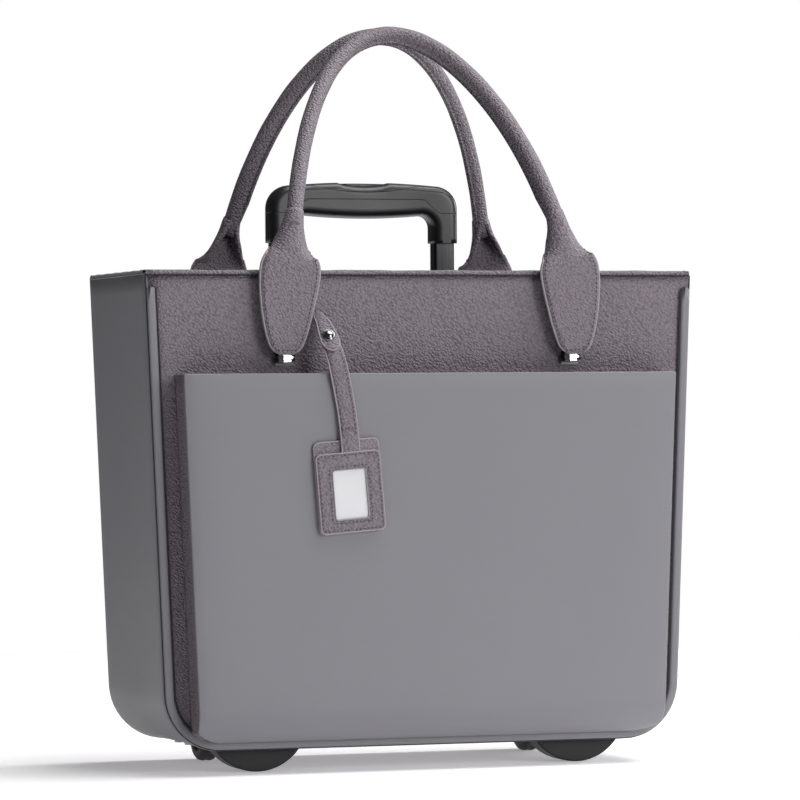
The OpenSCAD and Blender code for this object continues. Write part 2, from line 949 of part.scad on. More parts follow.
module foot_screws() {
    reach = 8;
    color("silver")
        foot_screw_places() {
            translate([0, 0, base_z - reach]) cylinder(r = foot_screw_r, h = board_top_z - base_z + reach);
            translate([0, 0, board_top_z]) cylinder(r = foot_screw_r + 2, h = 1.6);
        }
}

// ---------- carrying handles ----------

front_bow = 1.35;
back_bow = 1.15;
module front_handle_brackets() { color("silver") handle_brackets(-1, front_handle_half); }
module back_handle_brackets() { color("silver") handle_brackets(1, back_handle_half); }
module front_handle_clips() { color("silver") handle_clips(-1, front_handle_half); }
module back_handle_clips() { color("silver") handle_clips(1, back_handle_half); }
module front_handle_straps() { color("rosybrown") handle_straps(-1, front_handle_half); }
module back_handle_straps() { color("rosybrown") handle_straps(1, back_handle_half); }
module front_paddle_left() { color("rosybrown") paddle(-1, -1, front_handle_half, front_lean, front_bow); }
module front_paddle_right() { color("rosybrown") paddle(-1, 1, front_handle_half, front_lean, front_bow); }
module back_paddle_left() { color("rosybrown") paddle(1, -1, back_handle_half, back_lean, back_bow); }
module back_paddle_right() { color("rosybrown") paddle(1, 1, back_handle_half, back_lean, back_bow); }
module front_handle_roll() { color("rosybrown") handle_roll(-1, front_handle_half, front_lean, front_bow); }
module back_handle_roll() { color("rosybrown") handle_roll(1, back_handle_half, back_lean, back_bow); }

// ---------- luggage tag ----------

// The strap, with the roll at its top that turns beside the handle's own strap.
module tag_strap() {
    t = tag_strap_t / 2;
    roll_x = -front_handle_half + 1 + inner_strap_w / 2 + gap;
    roll_end = tag_hang_x;
    color("rosybrown")
        on_panel(-1) {
            skin([for (i = [0 : len(tag_stations) - 1])
                let (way = station_way(i),
                     across = unit(cross(way, [0, 1, 0])),
                     thick = cross(way, across),
                     w = tag_stations[i][3])
                [for (p = [[-w, -t], [w, -t], [w, t], [-w, t]])
                    station(i) + p[0] * across + p[1] * thick]]);
            translate([(roll_x + roll_end) / 2, tag_roll_r + seat, tag_pivot_z])
                bar_x(tag_roll_r, roll_end - roll_x);
        }
}

module on_tag() {
    on_panel(-1)
        translate([tag_hang_x + 20, holder_out, holder_z])
            rotate([0, -tag_tilt, 0])
                children();
}

module tag_snap() {
    color("silver")
        on_panel(-1)
            translate(station(snap_station))
                rotate([-acos(snap_out[2]), 0, atan2(-snap_out[0], snap_out[1])])
                    translate([0, 0, tag_strap_t / 2 + 0.1])
                        cylinder(r = 4.5, h = 1.8);
}

window_w = 27;
window_h = 38;
window_drop = 6;
module tag_holder() {
    color("rosybrown")
        on_tag()
            difference() {
                rotate([90, 0, 0])
                    linear_extrude(tag_t, center = true)
                        round_rect(tag_w, tag_h, 4);
                block([-window_w / 2, 0.5, -window_h / 2 - window_drop],
                      [window_w / 2, tag_t, window_h / 2 - window_drop]);
            }
}

module tag_card() {
    color("white")
        on_tag()
            block([-window_w / 2, 0.5, -window_h / 2 - window_drop],
                  [window_w / 2, 1.2, window_h / 2 - window_drop]);
}

module tag_window() {
    color("white", 0.3)
        on_tag()
            block([-window_w / 2, 1.2, -window_h / 2 - window_drop],
                  [window_w / 2, 1.7, window_h / 2 - window_drop]);
}

gusset();
front_panel();
back_panel();
front_welt();
back_welt();
rim_binding_front();
rim_binding_back();
rim_binding_sides();
front_pocket_face();
front_pocket_sides();
pocket_snap_discs();
lining();
base_board();
trolley_cover();
laptop_divider();
zip_flap_front();
zip_flap_rear();
zip_teeth_front();
zip_teeth_rear();
zip_slider();
trolley_base();
trolley_outer_tubes();
trolley_bezel();
trolley_mid_tubes();
trolley_mid_collars();
trolley_top_tubes();
grip_lower();
grip_upper();
release_button();
release_linkage();
wheel_housing_left();
wheel_housing_right();
wheel_axles();
housing_screws();
wheel_hub_left();
wheel_hub_right();
wheel_tyre_left();
wheel_tyre_right();
front_foot_left();
front_foot_right();
foot_screws();
front_handle_brackets();
back_handle_brackets();
front_handle_clips();
back_handle_clips();
front_handle_straps();
back_handle_straps();
front_paddle_left();
front_paddle_right();
back_paddle_left();
back_paddle_right();
front_handle_roll();
back_handle_roll();
tag_strap();
tag_snap();
tag_holder();
tag_card();
tag_window();
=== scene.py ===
import math
import random
import bpy
import bmesh
from mathutils import Matrix, Vector


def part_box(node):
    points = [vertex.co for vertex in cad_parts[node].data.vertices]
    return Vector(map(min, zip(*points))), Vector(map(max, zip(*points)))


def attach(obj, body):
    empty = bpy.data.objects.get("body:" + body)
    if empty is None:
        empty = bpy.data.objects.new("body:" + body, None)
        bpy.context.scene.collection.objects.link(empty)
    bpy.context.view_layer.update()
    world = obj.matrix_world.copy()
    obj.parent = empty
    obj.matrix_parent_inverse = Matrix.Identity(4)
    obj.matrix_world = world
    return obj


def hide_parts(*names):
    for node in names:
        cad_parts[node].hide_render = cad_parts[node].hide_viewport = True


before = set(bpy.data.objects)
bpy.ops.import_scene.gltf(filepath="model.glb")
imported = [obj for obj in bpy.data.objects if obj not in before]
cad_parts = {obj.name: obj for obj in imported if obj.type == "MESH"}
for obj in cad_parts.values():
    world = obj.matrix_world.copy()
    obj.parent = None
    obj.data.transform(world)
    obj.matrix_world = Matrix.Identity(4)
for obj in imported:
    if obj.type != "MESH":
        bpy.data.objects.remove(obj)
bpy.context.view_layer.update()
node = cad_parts

# ---- Bag shell -------------------------------------------------------------------------------
# The gusset is one long strip of smooth leatherette laminated on board, bent round the two lower
# corners and edge-turned towards the front and back panels, where it is sewn to them.
front_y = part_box("gusset")[0].y
back_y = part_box("gusset")[1].y
base_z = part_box("gusset")[0].z
hem_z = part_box("gusset")[1].z
rim_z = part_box("rim_binding_front")[1].z
rim_half = 0.222
base_half = 0.207
corner_r = 0.045
lean = math.atan((rim_half - base_half) / (rim_z - base_z))
corner_x = base_half + corner_r * math.tan(lean) - corner_r / math.cos(lean)
corner_z = base_z + corner_r
sides = ((-1, "left"), (1, "right"))


def side_x(z, inset=0.0):
    return base_half + (z - base_z) * math.tan(lean) - inset / math.cos(lean)


def right_edge(y, inset, top, rows=22, turns=12, cut=0.0):
    """Points down the bag's right edge: the leaning side, then the round lower corner."""
    low = corner_z - (corner_r - inset) * math.sin(lean)
    points = [Vector((side_x(top + (low - top) * i / rows, inset), y, top + (low - top) * i / rows))
              for i in range(rows)]
    for i in range(turns + 1):
        a = -lean - (math.pi / 2 - lean) * i / turns
        points.append(Vector((corner_x + (corner_r - inset) * math.cos(a), y,
                              corner_z + (corner_r - inset) * math.sin(a))))
    return points


def mirrored(points):
    return [Vector((-p.x, p.y, p.z)) for p in points]


def both_sides(points):
    """The right side's points, then their mirror images from the last to the first."""
    return points + mirrored(points)[::-1]


def chain(bm, points):
    verts = [bm.verts.new(p) for p in points]
    return [bm.edges.new(pair) for pair in zip(verts, verts[1:])]


def loft(bm, chains):
    edges = [chain(bm, c) for c in chains]
    for a, b in zip(edges, edges[1:]):
        bmesh.ops.bridge_loops(bm, edges=a + b)


def fill_holes(bm):
    bmesh.ops.holes_fill(bm, edges=[e for e in bm.edges if e.is_boundary], sides=0)


def bisect(bm, at, normal, **clear):
    bmesh.ops.bisect_plane(bm, geom=bm.verts[:] + bm.edges[:] + bm.faces[:], plane_co=at, plane_no=normal,
                           **clear)


def piece(name, bm, body, material, replaces=(), weld=1e-6):
    """Turns a bmesh into a named piece that rides on a body."""
    bmesh.ops.remove_doubles(bm, verts=bm.verts, dist=weld)
    bmesh.ops.recalc_face_normals(bm, faces=bm.faces)
    for face in bm.faces:
        face.smooth = True
    mesh = bpy.data.meshes.new(name)
    bm.to_mesh(mesh)
    bm.free()
    made = bpy.data.objects.new(name, mesh)
    bpy.context.scene.collection.objects.link(made)
    mesh.materials.append(material)
    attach(made, body)
    if replaces:
        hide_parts(*replaces)
    return made


def thicken(made, thickness, offset=-1.0, bevel=0.0):
    """Gives a sheet its board's thickness, and turned edges where a bevel is given."""
    solid = made.modifiers.new("board", "SOLIDIFY")
    solid.thickness = thickness
    solid.offset = offset
    if bevel:
        edge = made.modifiers.new("turned_edge", "BEVEL")
        edge.width = bevel
        edge.segments = 3
        edge.limit_method = "ANGLE"
        edge.angle_limit = math.radians(40)
        edge.harden_normals = False


def new_material(name):
    material = bpy.data.materials.new(name)
    material.use_nodes = True
    tree = material.node_tree
    shader = tree.nodes["Principled BSDF"]
    place = tree.nodes.new("ShaderNodeTexCoord")
    return material, tree, shader, place.outputs["Object"]


def add(tree, kind, at=None, **settings):
    """A node with its settings. in_ marks an input's value; at is what its Vector follows."""
    made = tree.nodes.new(kind)
    for key, value in settings.items():
        if key.startswith("in_"):
            made.inputs[key[3:].replace("_", " ").title()].default_value = value
        else:
            setattr(made, key, value)
    if at is not None:
        tree.links.new(at, made.inputs["Vector"])
    return made


def math_node(tree, operation, a, b=None):
    made = tree.nodes.new("ShaderNodeMath")
    made.operation = operation
    for index, value in enumerate((a, b)):
        if value is None:
            continue
        if isinstance(value, (int, float)):
            made.inputs[index].default_value = value
        else:
            tree.links.new(value, made.inputs[index])
    return made.outputs[0]


def scaled(tree, value, factor, plus):
    return math_node(tree, "ADD", math_node(tree, "MULTIPLY", value, factor), plus)


def between(tree, value, low, high, start=0.0, end=1.0):
    """A colour that runs from low to high as a value goes from start to end."""
    made = tree.nodes.new("ShaderNodeValToRGB")
    ends = made.color_ramp.elements
    ends[0].color, ends[1].color = (*low, 1), (*high, 1)
    ends[0].position, ends[1].position = start, end
    tree.links.new(value, made.inputs[0])
    return made.outputs[0]


def bump(tree, shader, height, distance, strength=1.0, under=None):
    made = tree.nodes.new("ShaderNodeBump")
    made.inputs["Strength"].default_value = strength
    made.inputs["Distance"].default_value = distance
    tree.links.new(height, made.inputs["Height"])
    if under:
        tree.links.new(under.outputs[0], made.inputs["Normal"])
    tree.links.new(made.outputs[0], shader.inputs["Normal"])
    return made


def smooth_leatherette(name, dark, light, roughness):
    """Calendered satin leatherette: hair-fine grain, faint cloudiness, soft sheen."""
    material, tree, shader, where = new_material(name)
    cloud = add(tree, "ShaderNodeTexNoise", where, in_scale=9.0, in_detail=3.0).outputs["Fac"]
    grain = add(tree, "ShaderNodeTexNoise", where, in_scale=900.0, in_detail=2.0,
                in_roughness=0.6).outputs["Fac"]
    weave = add(tree, "ShaderNodeTexVoronoi", where, in_scale=700.0).outputs["Distance"]
    mixed = scaled(tree, cloud, 0.75, math_node(tree, "MULTIPLY", grain, 0.25))
    tree.links.new(between(tree, mixed, dark, light), shader.inputs["Base Color"])
    tree.links.new(scaled(tree, cloud, 0.12, roughness - 0.06), shader.inputs["Roughness"])
    low = bump(tree, shader, cloud, 0.0006, 0.25)
    bump(tree, shader, math_node(tree, "ADD", grain, weave), 0.00005, 0.55, low)
    shader.inputs["Specular IOR Level"].default_value = 0.35
    shader.inputs["Sheen Weight"].default_value = 0.12
    shader.inputs["Sheen Roughness"].default_value = 0.5
    return material


def pebbled_leatherette(name, valley, top, cell, depth, roughness):
    """Embossed pebble grain: slanted, rounded cells with slightly rougher valleys between them, painted darker
    as shade.
    """
    material, tree, shader, where = new_material(name)
    turn = add(tree, "ShaderNodeMapping", where, vector_type="TEXTURE",
               in_rotation=(0, math.radians(34), 0), in_scale=(1.3, 1.0, 0.82)).outputs[0]
    wander = add(tree, "ShaderNodeTexNoise", turn, in_scale=260.0, in_detail=1.0)
    push = add(tree, "ShaderNodeVectorMath", operation="SCALE", in_scale=0.0009)
    tree.links.new(wander.outputs["Color"], push.inputs[0])
    moved = add(tree, "ShaderNodeVectorMath", operation="ADD")
    tree.links.new(turn, moved.inputs[0])
    tree.links.new(push.outputs[0], moved.inputs[1])
    cells = add(tree, "ShaderNodeTexVoronoi", moved.outputs[0], feature="SMOOTH_F1", in_scale=1.0 / cell,
                in_smoothness=0.22).outputs["Distance"]
    fine = add(tree, "ShaderNodeTexNoise", where, in_scale=1500.0, in_detail=2.0).outputs["Fac"]
    cloud = add(tree, "ShaderNodeTexNoise", where, in_scale=11.0, in_detail=2.0).outputs["Fac"]
    # lighter pebble tops and darker valleys in the base colour: painted shade in the valleys, with a random
    # cloud over it
    height = math_node(tree, "SUBTRACT", 1.0, cells)
    shade = scaled(tree, height, 0.85, math_node(tree, "MULTIPLY", cloud, 0.25))
    tree.links.new(between(tree, shade, valley, top, 0.30, 0.92), shader.inputs["Base Color"])
    tree.links.new(scaled(tree, cells, 0.25, roughness - 0.08), shader.inputs["Roughness"])
    low = bump(tree, shader, height, depth)
    bump(tree, shader, fine, 0.00004, 0.5, low)
    shader.inputs["Specular IOR Level"].default_value = 0.42
    shader.inputs["Sheen Weight"].default_value = 0.08
    return material


grey_leatherette = smooth_leatherette("grey_leatherette", (0.150, 0.147, 0.164), (0.174, 0.171, 0.188), 0.5)
mauve_pebble = pebbled_leatherette("mauve_pebble", (0.117, 0.097, 0.116), (0.212, 0.180, 0.209),
                                   cell=0.0017, depth=0.0011, roughness=0.5)

# The wheel bays are cut out of the strip and of the back: the moulded housings fill them.
bay_half = 0.0145
bay_front_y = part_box("wheel_housing_left")[0].y + 0.0035
bay_top_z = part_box("wheel_housing_left")[1].z + 0.0004
wheel_x = (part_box("wheel_tyre_right")[0].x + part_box("wheel_tyre_right")[1].x) / 2


def cut_bays(bm):
    planes = [((s * wheel_x + e * bay_half, 0, 0), (1, 0, 0)) for s in (-1, 1) for e in (-1, 1)]
    planes += [((0, 0, bay_top_z), (0, 0, 1)), ((0, bay_front_y, 0), (0, 1, 0))]
    for at, normal in planes:
        bisect(bm, at, normal)
    gone = []
    for face in bm.faces:
        c = face.calc_center_median()
        if c.z < bay_top_z and c.y > bay_front_y and any(abs(c.x - s * wheel_x) < bay_half for s in (-1, 1)):
            gone.append(face)
    bmesh.ops.delete(bm, geom=gone, context="FACES")


bm = bmesh.new()
depth = back_y - front_y
stations = [(0.0, 0.0024), (0.0006, 0.0011), (0.0018, 0.0003), (0.0042, 0.0)]
for i in range(1, 14):
    t = i / 14
    stations.append((0.0042 + (depth - 0.0084) * t, 0.0016 * math.sin(math.pi * t) ** 0.8))
stations += [(depth - y, inset) for y, inset in reversed(stations[:4])]
loft(bm, [both_sides(right_edge(front_y + y, inset, hem_z)) for y, inset in stations])
cut_bays(bm)
bag_gusset = piece("bag_gusset", bm, "bag", grey_leatherette, ["gusset"])
thicken(bag_gusset, 0.0026)

# ---- Front and back panels --------------------------------------------------------------------
# Pebbled leatherette laminated on board. Each panel swells slightly between its sewn edges.
panel_inset = 0.0022


def panel(name, y, outwards, crown, replaces, bays=False):
    bm = bmesh.new()
    right = right_edge(y, panel_inset, hem_z, rows=30)
    loft(bm, [right, mirrored(right)])
    across = [e for e in bm.edges if abs(e.verts[0].co.x + e.verts[1].co.x) < 0.002
              and abs(e.verts[0].co.x - e.verts[1].co.x) > 0.1]
    bmesh.ops.subdivide_edges(bm, edges=across, cuts=34, use_grid_fill=True)
    for v in bm.verts:
        u = min(1.0, (side_x(v.co.z, panel_inset) - abs(v.co.x)) / 0.05)
        w = min(1.0, max(0.0, v.co.z - base_z - panel_inset) / 0.05,
                0.1 + (max(0.0, hem_z - v.co.z) / 0.02) ** 0.6)
        v.co.y += outwards * crown * max(0.0, u) ** 0.6 * w
    if bays:
        cut_bays(bm)
    made = piece(name, bm, "bag", mauve_pebble, replaces)
    thicken(made, 0.0028)


panel("bag_front", front_y + 0.0004, -1, 0.0009, ["front_panel"])
panel("bag_back", back_y - 0.0004, 1, 0.0007, ["back_panel"], bays=True)

# ---- Welts -----------------------------------------------------------------------------------
# A flat welt of the smooth leatherette over a thin cord, sewn on round each panel from one upper
# corner to the other. Its cut ends are rounded and stop a little below the rim.
def fine_material(name, low, high, roughness, spread=0.0, relief=None, metallic=0.0, sheen=0.0,
                  kind="ShaderNodeTexNoise", stretch=None, **settings):
    """A material whose colour, roughness and relief follow one fine texture."""
    material, tree, shader, where = new_material(name)
    if stretch:
        where = add(tree, "ShaderNodeMapping", where, in_scale=stretch).outputs[0]
    fine = add(tree, kind, where, **settings).outputs["Fac"]
    tree.links.new(between(tree, fine, low, high), shader.inputs["Base Color"])
    shader.inputs["Roughness"].default_value = roughness
    if spread:
        tree.links.new(scaled(tree, fine, spread, roughness), shader.inputs["Roughness"])
    shader.inputs["Metallic"].default_value = metallic
    shader.inputs["Sheen Weight"].default_value = sheen
    if relief:
        bump(tree, shader, fine, *relief)
    return material


thread_plum = fine_material("thread_plum", (0.010, 0.007, 0.010), (0.040, 0.027, 0.038), 0.6,
                            relief=(0.0001, 0.6), sheen=0.3, kind="ShaderNodeTexWave", in_scale=900.0,
                            in_distortion=1.0)
seam_shadow = fine_material("seam_shadow", (0.012, 0.011, 0.013), (0.03, 0.027, 0.031), 0.85, in_scale=800.0)

welt_inset, welt_w, welt_t = 0.0012, 0.0072, 0.0022
welt_top = rim_z - 0.013


def welt(name, y, outwards, replaces, bays=False):
    bm = bmesh.new()
    profile = [(0.0, 0.0), (0.0001, 0.7), (0.0007, 0.96), (0.0020, 1.0), (0.0043, 1.0), (0.0056, 0.96),
               (0.0062, 0.7), (welt_w, 0.0)]
    chains = []
    for across, high in profile:
        right = right_edge(y + outwards * welt_t * high, welt_inset + across, welt_top, rows=26, turns=14)
        # the cut end is rounded: the outer lanes of the welt stop a little lower
        drop = 0.0024 * (1 - math.sqrt(max(0.0, 1 - (across / welt_w * 2 - 1) ** 2)))
        right[0].z -= drop
        right[1].z = min(right[1].z, right[0].z - 0.002)
        chains.append(both_sides(right))
    loft(bm, chains)
    fill_holes(bm)
    if bays:
        cut_bays(bm)
    piece(name, bm, "bag", grey_leatherette, replaces)


welt("front_panel_welt", front_y - 0.0002, -1, ["front_welt"])
welt("back_panel_welt", back_y + 0.0002, 1, ["back_welt"], bays=True)


def seam(name, points, body, radius, material=seam_shadow):
    """The dark line of a sewn joint, or a pale painted highlight on a rounded edge: a thin bead laid along it.
    """
    rings = []
    bm = bmesh.new()
    for i, p in enumerate(points):
        way = (points[min(i + 1, len(points) - 1)] - points[max(i - 1, 0)]).normalized()
        turn = way.to_track_quat("Z", "Y").to_matrix().to_4x4()
        made = bmesh.ops.create_circle(bm, segments=6, radius=radius, matrix=Matrix.Translation(p) @ turn)
        rings.append([e for e in {e for v in made["verts"] for e in v.link_edges}])
    for a, b in zip(rings, rings[1:]):
        bmesh.ops.bridge_loops(bm, edges=a + b)
    piece(name, bm, body, material)


for name, y, inset, top in (("outer", front_y - 0.0003, 0.0010, rim_z - 0.004),
                            ("inner", front_y - 0.0014, welt_inset + welt_w + 0.0003, welt_top - 0.001)):
    seam(f"front_{name}_seam", both_sides(right_edge(y, inset, top, rows=14)), "bag", 0.0006)
for s, side in sides:
    down = [Vector((s * p.x, p.y, p.z)) for p in right_edge(back_y - 0.0002, 0.0022, rim_z - 0.004)]
    seam(f"back_outer_seam_{side}", down, "bag", 0.00055)

# ---- Rim hems --------------------------------------------------------------------------------
# The panels' upper edges are turned over a cord and sewn down: pebbled on the panels, smooth on
# the gusset's two sides. A plum lockstitch runs just under the roll.
hem_roll, hem_drop, hem_thick = 0.0018, 0.0036, 0.0044


def stitches(name, path, body, pitch, length, radius):
    """One lockstitch seam: short twisted threads end to end along a path."""
    bm = bmesh.new()
    spare = 0.0
    for a, b in zip(path, path[1:]):
        way = b - a
        run = way.length
        if run < 1e-9:
            continue
        turn = way.to_track_quat("X", "Z").to_matrix().to_4x4()
        at = spare
        while at < run:
            size = Matrix.Diagonal((length / 2 / radius, 1.0, 1.0, 1.0))
            bmesh.ops.create_icosphere(bm, subdivisions=1, radius=radius,
                                       matrix=Matrix.Translation(a + way * (at / run)) @ turn @ size)
            at += pitch
        spare = at - run
    piece(name, bm, body, thread_plum, weld=1e-9)


def hem(name, a, b, outwards, material, replaces):
    """A turned edge from a to b: a rounded roll on top and a flat turn-down outside and inside."""
    bm = bmesh.new()
    section = [(0.0005, -hem_drop), (0.0007, -hem_drop + 0.0003), (0.0008, -0.0026), (0.0006, -0.0021)]
    for i in range(9):
        turn = math.pi * i / 8
        section.append((-hem_thick / 2 + (hem_thick / 2 + 0.0006) * math.cos(turn),
                        hem_roll * math.sin(turn) - hem_roll))
    section += [(-hem_thick - 0.0006, -hem_drop)]
    chains = []
    for i in range(41):
        t = i / 40
        at = a.lerp(b, t)
        wave = 0.00018 * math.sin(t * 37.0) + 0.00012 * math.sin(t * 91.0 + 1.0)
        chains.append([at + outwards * out + Vector((0, 0, up + (wave if up > -0.001 else 0)))
                       for out, up in section])
    loft(bm, chains)
    fill_holes(bm)
    piece(name, bm, "bag", material, replaces)


top_half = side_x(rim_z, 0.001) - 0.0004
for name, s, y in (("front", -1, front_y), ("back", 1, back_y)):
    hem(f"rim_hem_{name}", Vector((-top_half, y, rim_z)), Vector((top_half, y, rim_z)), Vector((0, s, 0)),
        mauve_pebble, [f"rim_binding_{name}"])
for s, side in sides:
    x = s * (side_x(rim_z) - 0.0006)
    hem(f"rim_hem_{side}", Vector((x, front_y + hem_thick, rim_z)), Vector((x, back_y - hem_thick, rim_z)),
        Vector((s, 0, -0.04)), grey_leatherette, ["rim_binding_sides"])
for name, y, s in (("front", front_y - 0.0010, -1), ("back", back_y + 0.0010, 1)):
    stitches(f"rim_stitches_{name}", [Vector((x, y, rim_z - 0.0033)) for x in (-0.216, 0.216)],
             "bag", 0.0033, 0.0025, 0.00055)
    seam(f"rim_groove_{name}", [Vector((x, y - s * 0.0002, rim_z - 0.0040)) for x in (-0.2205, 0, 0.2205)],
         "bag", 0.0005)
for s, side in sides:
    x = s * (side_x(rim_z - 0.0031) + 0.0004)
    ends = [Vector((x, y, rim_z - 0.0031)) for y in (front_y + 0.005, back_y - 0.005)]
    stitches(f"rim_stitches_{side}", ends, "bag", 0.0033, 0.0025, 0.0003)

# ---- Front pocket ----------------------------------------------------------------------------
# One piece of smooth leatherette on board, its mouth edge-turned, bent round at its foot and let
# into the welt's seam. Its two sides are pebbled gussets with a slight inward fold.
mouth_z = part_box("front_pocket_face")[1].z
face_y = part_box("front_pocket_face")[0].y
foot_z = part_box("front_pocket_face")[0].z
bend_r = 0.026
pocket_inset = 0.020
corner_inner_r = corner_r - (foot_z - base_z)


def pocket_y(z, inward=0.0):
    if z >= foot_z + bend_r:
        return face_y + inward
    rise = max(0.0, foot_z + bend_r - z)
    r = bend_r - inward
    return face_y + bend_r - math.sqrt(max(0.0, r * r - min(rise, r) ** 2))


def pocket_edge(inset, inward=0.0, top=mouth_z):
    """Down the pocket's right edge, then along the bag's round corner to the foot."""
    rows = [top + (foot_z + bend_r - top) * i / 20 for i in range(20)]
    rows += [foot_z + bend_r * (1 - math.sin(math.pi / 2 * i / 12)) for i in range(13)]
    points = []
    for z in rows:
        limit = 1.0
        if z < corner_z:
            limit = corner_x + math.sqrt(max(0.0, corner_inner_r ** 2 - (corner_z - z) ** 2))
        x = min(side_x(z, pocket_inset + inset), limit)
        points.append(Vector((x, pocket_y(z, inward), z)))
    return points


bm = bmesh.new()
right = pocket_edge(0.0)
loft(bm, [right, mirrored(right)])
across = [e for e in bm.edges if abs(e.verts[0].co.x - e.verts[1].co.x) > 0.1]
bmesh.ops.subdivide_edges(bm, edges=across, cuts=40, use_grid_fill=True)
for v in bm.verts:
    u = 1 - abs(v.co.x) / side_x(v.co.z, pocket_inset)
    edge_in = min(1.0, max(0.0, u * side_x(v.co.z, pocket_inset) / 0.03))
    high = min(1.0, max(0.0, (mouth_z - v.co.z) / 0.02))
    if v.co.z > foot_z + 0.01:
        v.co.y += -0.0002 * high * edge_in + 0.0012 * (1 - edge_in) ** 2
pocket_panel = piece("pocket_panel", bm, "bag", grey_leatherette, ["front_pocket_face"])
thicken(pocket_panel, 0.0030, bevel=0.0011)

for s, side in sides:
    bm = bmesh.new()
    front_edge = [p for p in pocket_edge(0.0010, 0.0024, mouth_z - 0.0005) if p.y < front_y - 0.003]
    chains = []
    for i in range(11):
        t = i / 10
        fold = 0.0026 * math.sin(math.pi * t) ** 1.3
        chains.append([Vector((s * (p.x - fold), p.y + (front_y - 0.0006 - p.y) * t, p.z)) for p in front_edge])
    loft(bm, chains)
    made = piece(f"pocket_gusset_{side}", bm, "bag", mauve_pebble, ["front_pocket_sides"])
    thicken(made, 0.0018, offset=0.0)

# ---- Carrying handles ------------------------------------------------------------------------
# Each handle is a cord rolled in pebbled leatherette and sewn shut along a lip on its inner side.
# The leatherette opens out at both ends into a flat, edge-stitched paddle.
pin_z = 0.316
arch_z = pin_z + 0.003
arch_rise = 0.252
bend_z = rim_z + 0.005
roll_out = 0.00925
strap_out = 0.007
paddle_h = 0.109
front_shift = 0.004
handles = {
    "front": dict(side=-1, half=0.117, lean=0.095, bow=1.35, shift=front_shift),
    "back": dict(side=1, half=0.116, lean=0.067, bow=1.15, shift=0.0),
}
paddle_widths = [(0, 6.5), (1, 8.0), (3, 10.4), (7, 13.2), (21, 17.6), (40, 21.4), (55, 23.3), (64, 23.5),
                 (70, 22.2), (79, 17.4), (89, 12.0), (98, 8.4), (109, 6.6)]


def paddle_half(v):
    """Half the paddle's width at a height, on a smooth curve through the listed widths."""
    v = min(max(v * 1000, 0.0), 109.0)
    p = paddle_widths
    i = max(k for k in range(len(p) - 1) if p[k][0] <= v)
    (v0, w0), (v1, w1) = p[i], p[i + 1]
    slopes = []
    for k in (i, i + 1):
        a, b = p[max(0, k - 1)], p[min(len(p) - 1, k + 1)]
        slopes.append((b[1] - a[1]) / (b[0] - a[0]) * (v1 - v0))
    t = (v - v0) / (v1 - v0)
    return (w0 * (2 * t ** 3 - 3 * t * t + 1) + slopes[0] * (t ** 3 - 2 * t * t + t)
            + w1 * (3 * t * t - 2 * t ** 3) + slopes[1] * (t ** 3 - t * t)) / 1000


def arch_point(turn, h):
    z = arch_z + arch_rise * math.sin(turn)
    over = max(0.0, z - bend_z)
    y = roll_out - h["lean"] * (over / (arch_z + arch_rise - bend_z)) ** h["bow"]
    return Vector((h["half"] * math.cos(turn), y, z))


def arch_frame(turn, h):
    d = math.radians(0.5)
    at = arch_point(turn, h)
    way = (arch_point(turn + d, h) - arch_point(turn - d, h)).normalized()
    out = Vector((0, 1, 0)).cross(way).normalized()
    return at, way, out, way.cross(out)


def on_panel(h, p):
    side = h["side"]
    y = front_y - p.y if side < 0 else back_y + p.y
    return Vector((p.x + h["shift"], y, p.z))


def loft_rings(bm, rings, caps=True):
    """A skin through closed rings of points, bridged one to the next."""
    loops = []
    for ring in rings:
        verts = [bm.verts.new(p) for p in ring]
        loops.append([bm.edges.new((verts[i], verts[(i + 1) % len(verts)])) for i in range(len(verts))])
    for a, b in zip(loops, loops[1:]):
        bmesh.ops.bridge_loops(bm, edges=a + b)
    if caps:
        for end in (loops[0], loops[-1]):
            bmesh.ops.holes_fill(bm, edges=end, sides=0)


roll_r = 0.0062
lip_angle = math.radians(225)


def rolled_grip(name, h, body, replaced):
    start = math.asin((paddle_h - 0.012) / arch_rise)
    steps = 96
    bm = bmesh.new()
    rings, lips, sewn = [], [], []
    wander = random.Random(5)
    for i in range(steps + 1):
        turn = start + (math.pi - 2 * start) * i / steps
        at, way, out, away = arch_frame(turn, h)
        swell = 1 + 0.012 * math.sin(i * 0.8) + wander.uniform(-0.006, 0.006)
        ring = []
        for k in range(20):
            a = 2 * math.pi * k / 20
            # the seam pulls the round section into a drop towards the lip
            r = roll_r * swell + 0.0016 * max(0.0, math.cos(a - lip_angle)) ** 6
            ring.append(on_panel(h, at + out * (r * math.cos(a)) + away * (r * math.sin(a))))
        rings.append(ring)
        ray = out * math.cos(lip_angle) + away * math.sin(lip_angle)
        flat = out * -math.sin(lip_angle) + away * math.cos(lip_angle)
        ends = min(1.0, min(i, steps - i) / 5)
        tip = 0.0066 + 0.0038 * ends
        lips.append([on_panel(h, at + ray * r + flat * f) for r, f in
                     ((0.0052, 0.0011), (tip - 0.0006, 0.0010), (tip, 0.0005), (tip, -0.0005),
                      (tip - 0.0006, -0.0010), (0.0052, -0.0011))])
        if ends >= 1:
            sewn.append([on_panel(h, at + ray * (tip - 0.0013) + flat * f) for f in (0.0011, -0.0011)])
    loft_rings(bm, rings)
    loft_rings(bm, lips)
    piece(name, bm, body, mauve_pebble, replaced)
    for k in (0, 1):
        stitches(f"{name}_stitches_{k}", [pair[k] for pair in sewn], body, 0.0036, 0.0026, 0.00032)


# up to flat_v the paddle is almost flat, on a radius of flat_r; above it a sheet sheet_span wide curls up
flat_v = 0.050
flat_r = 0.6
sheet_span = 0.0405


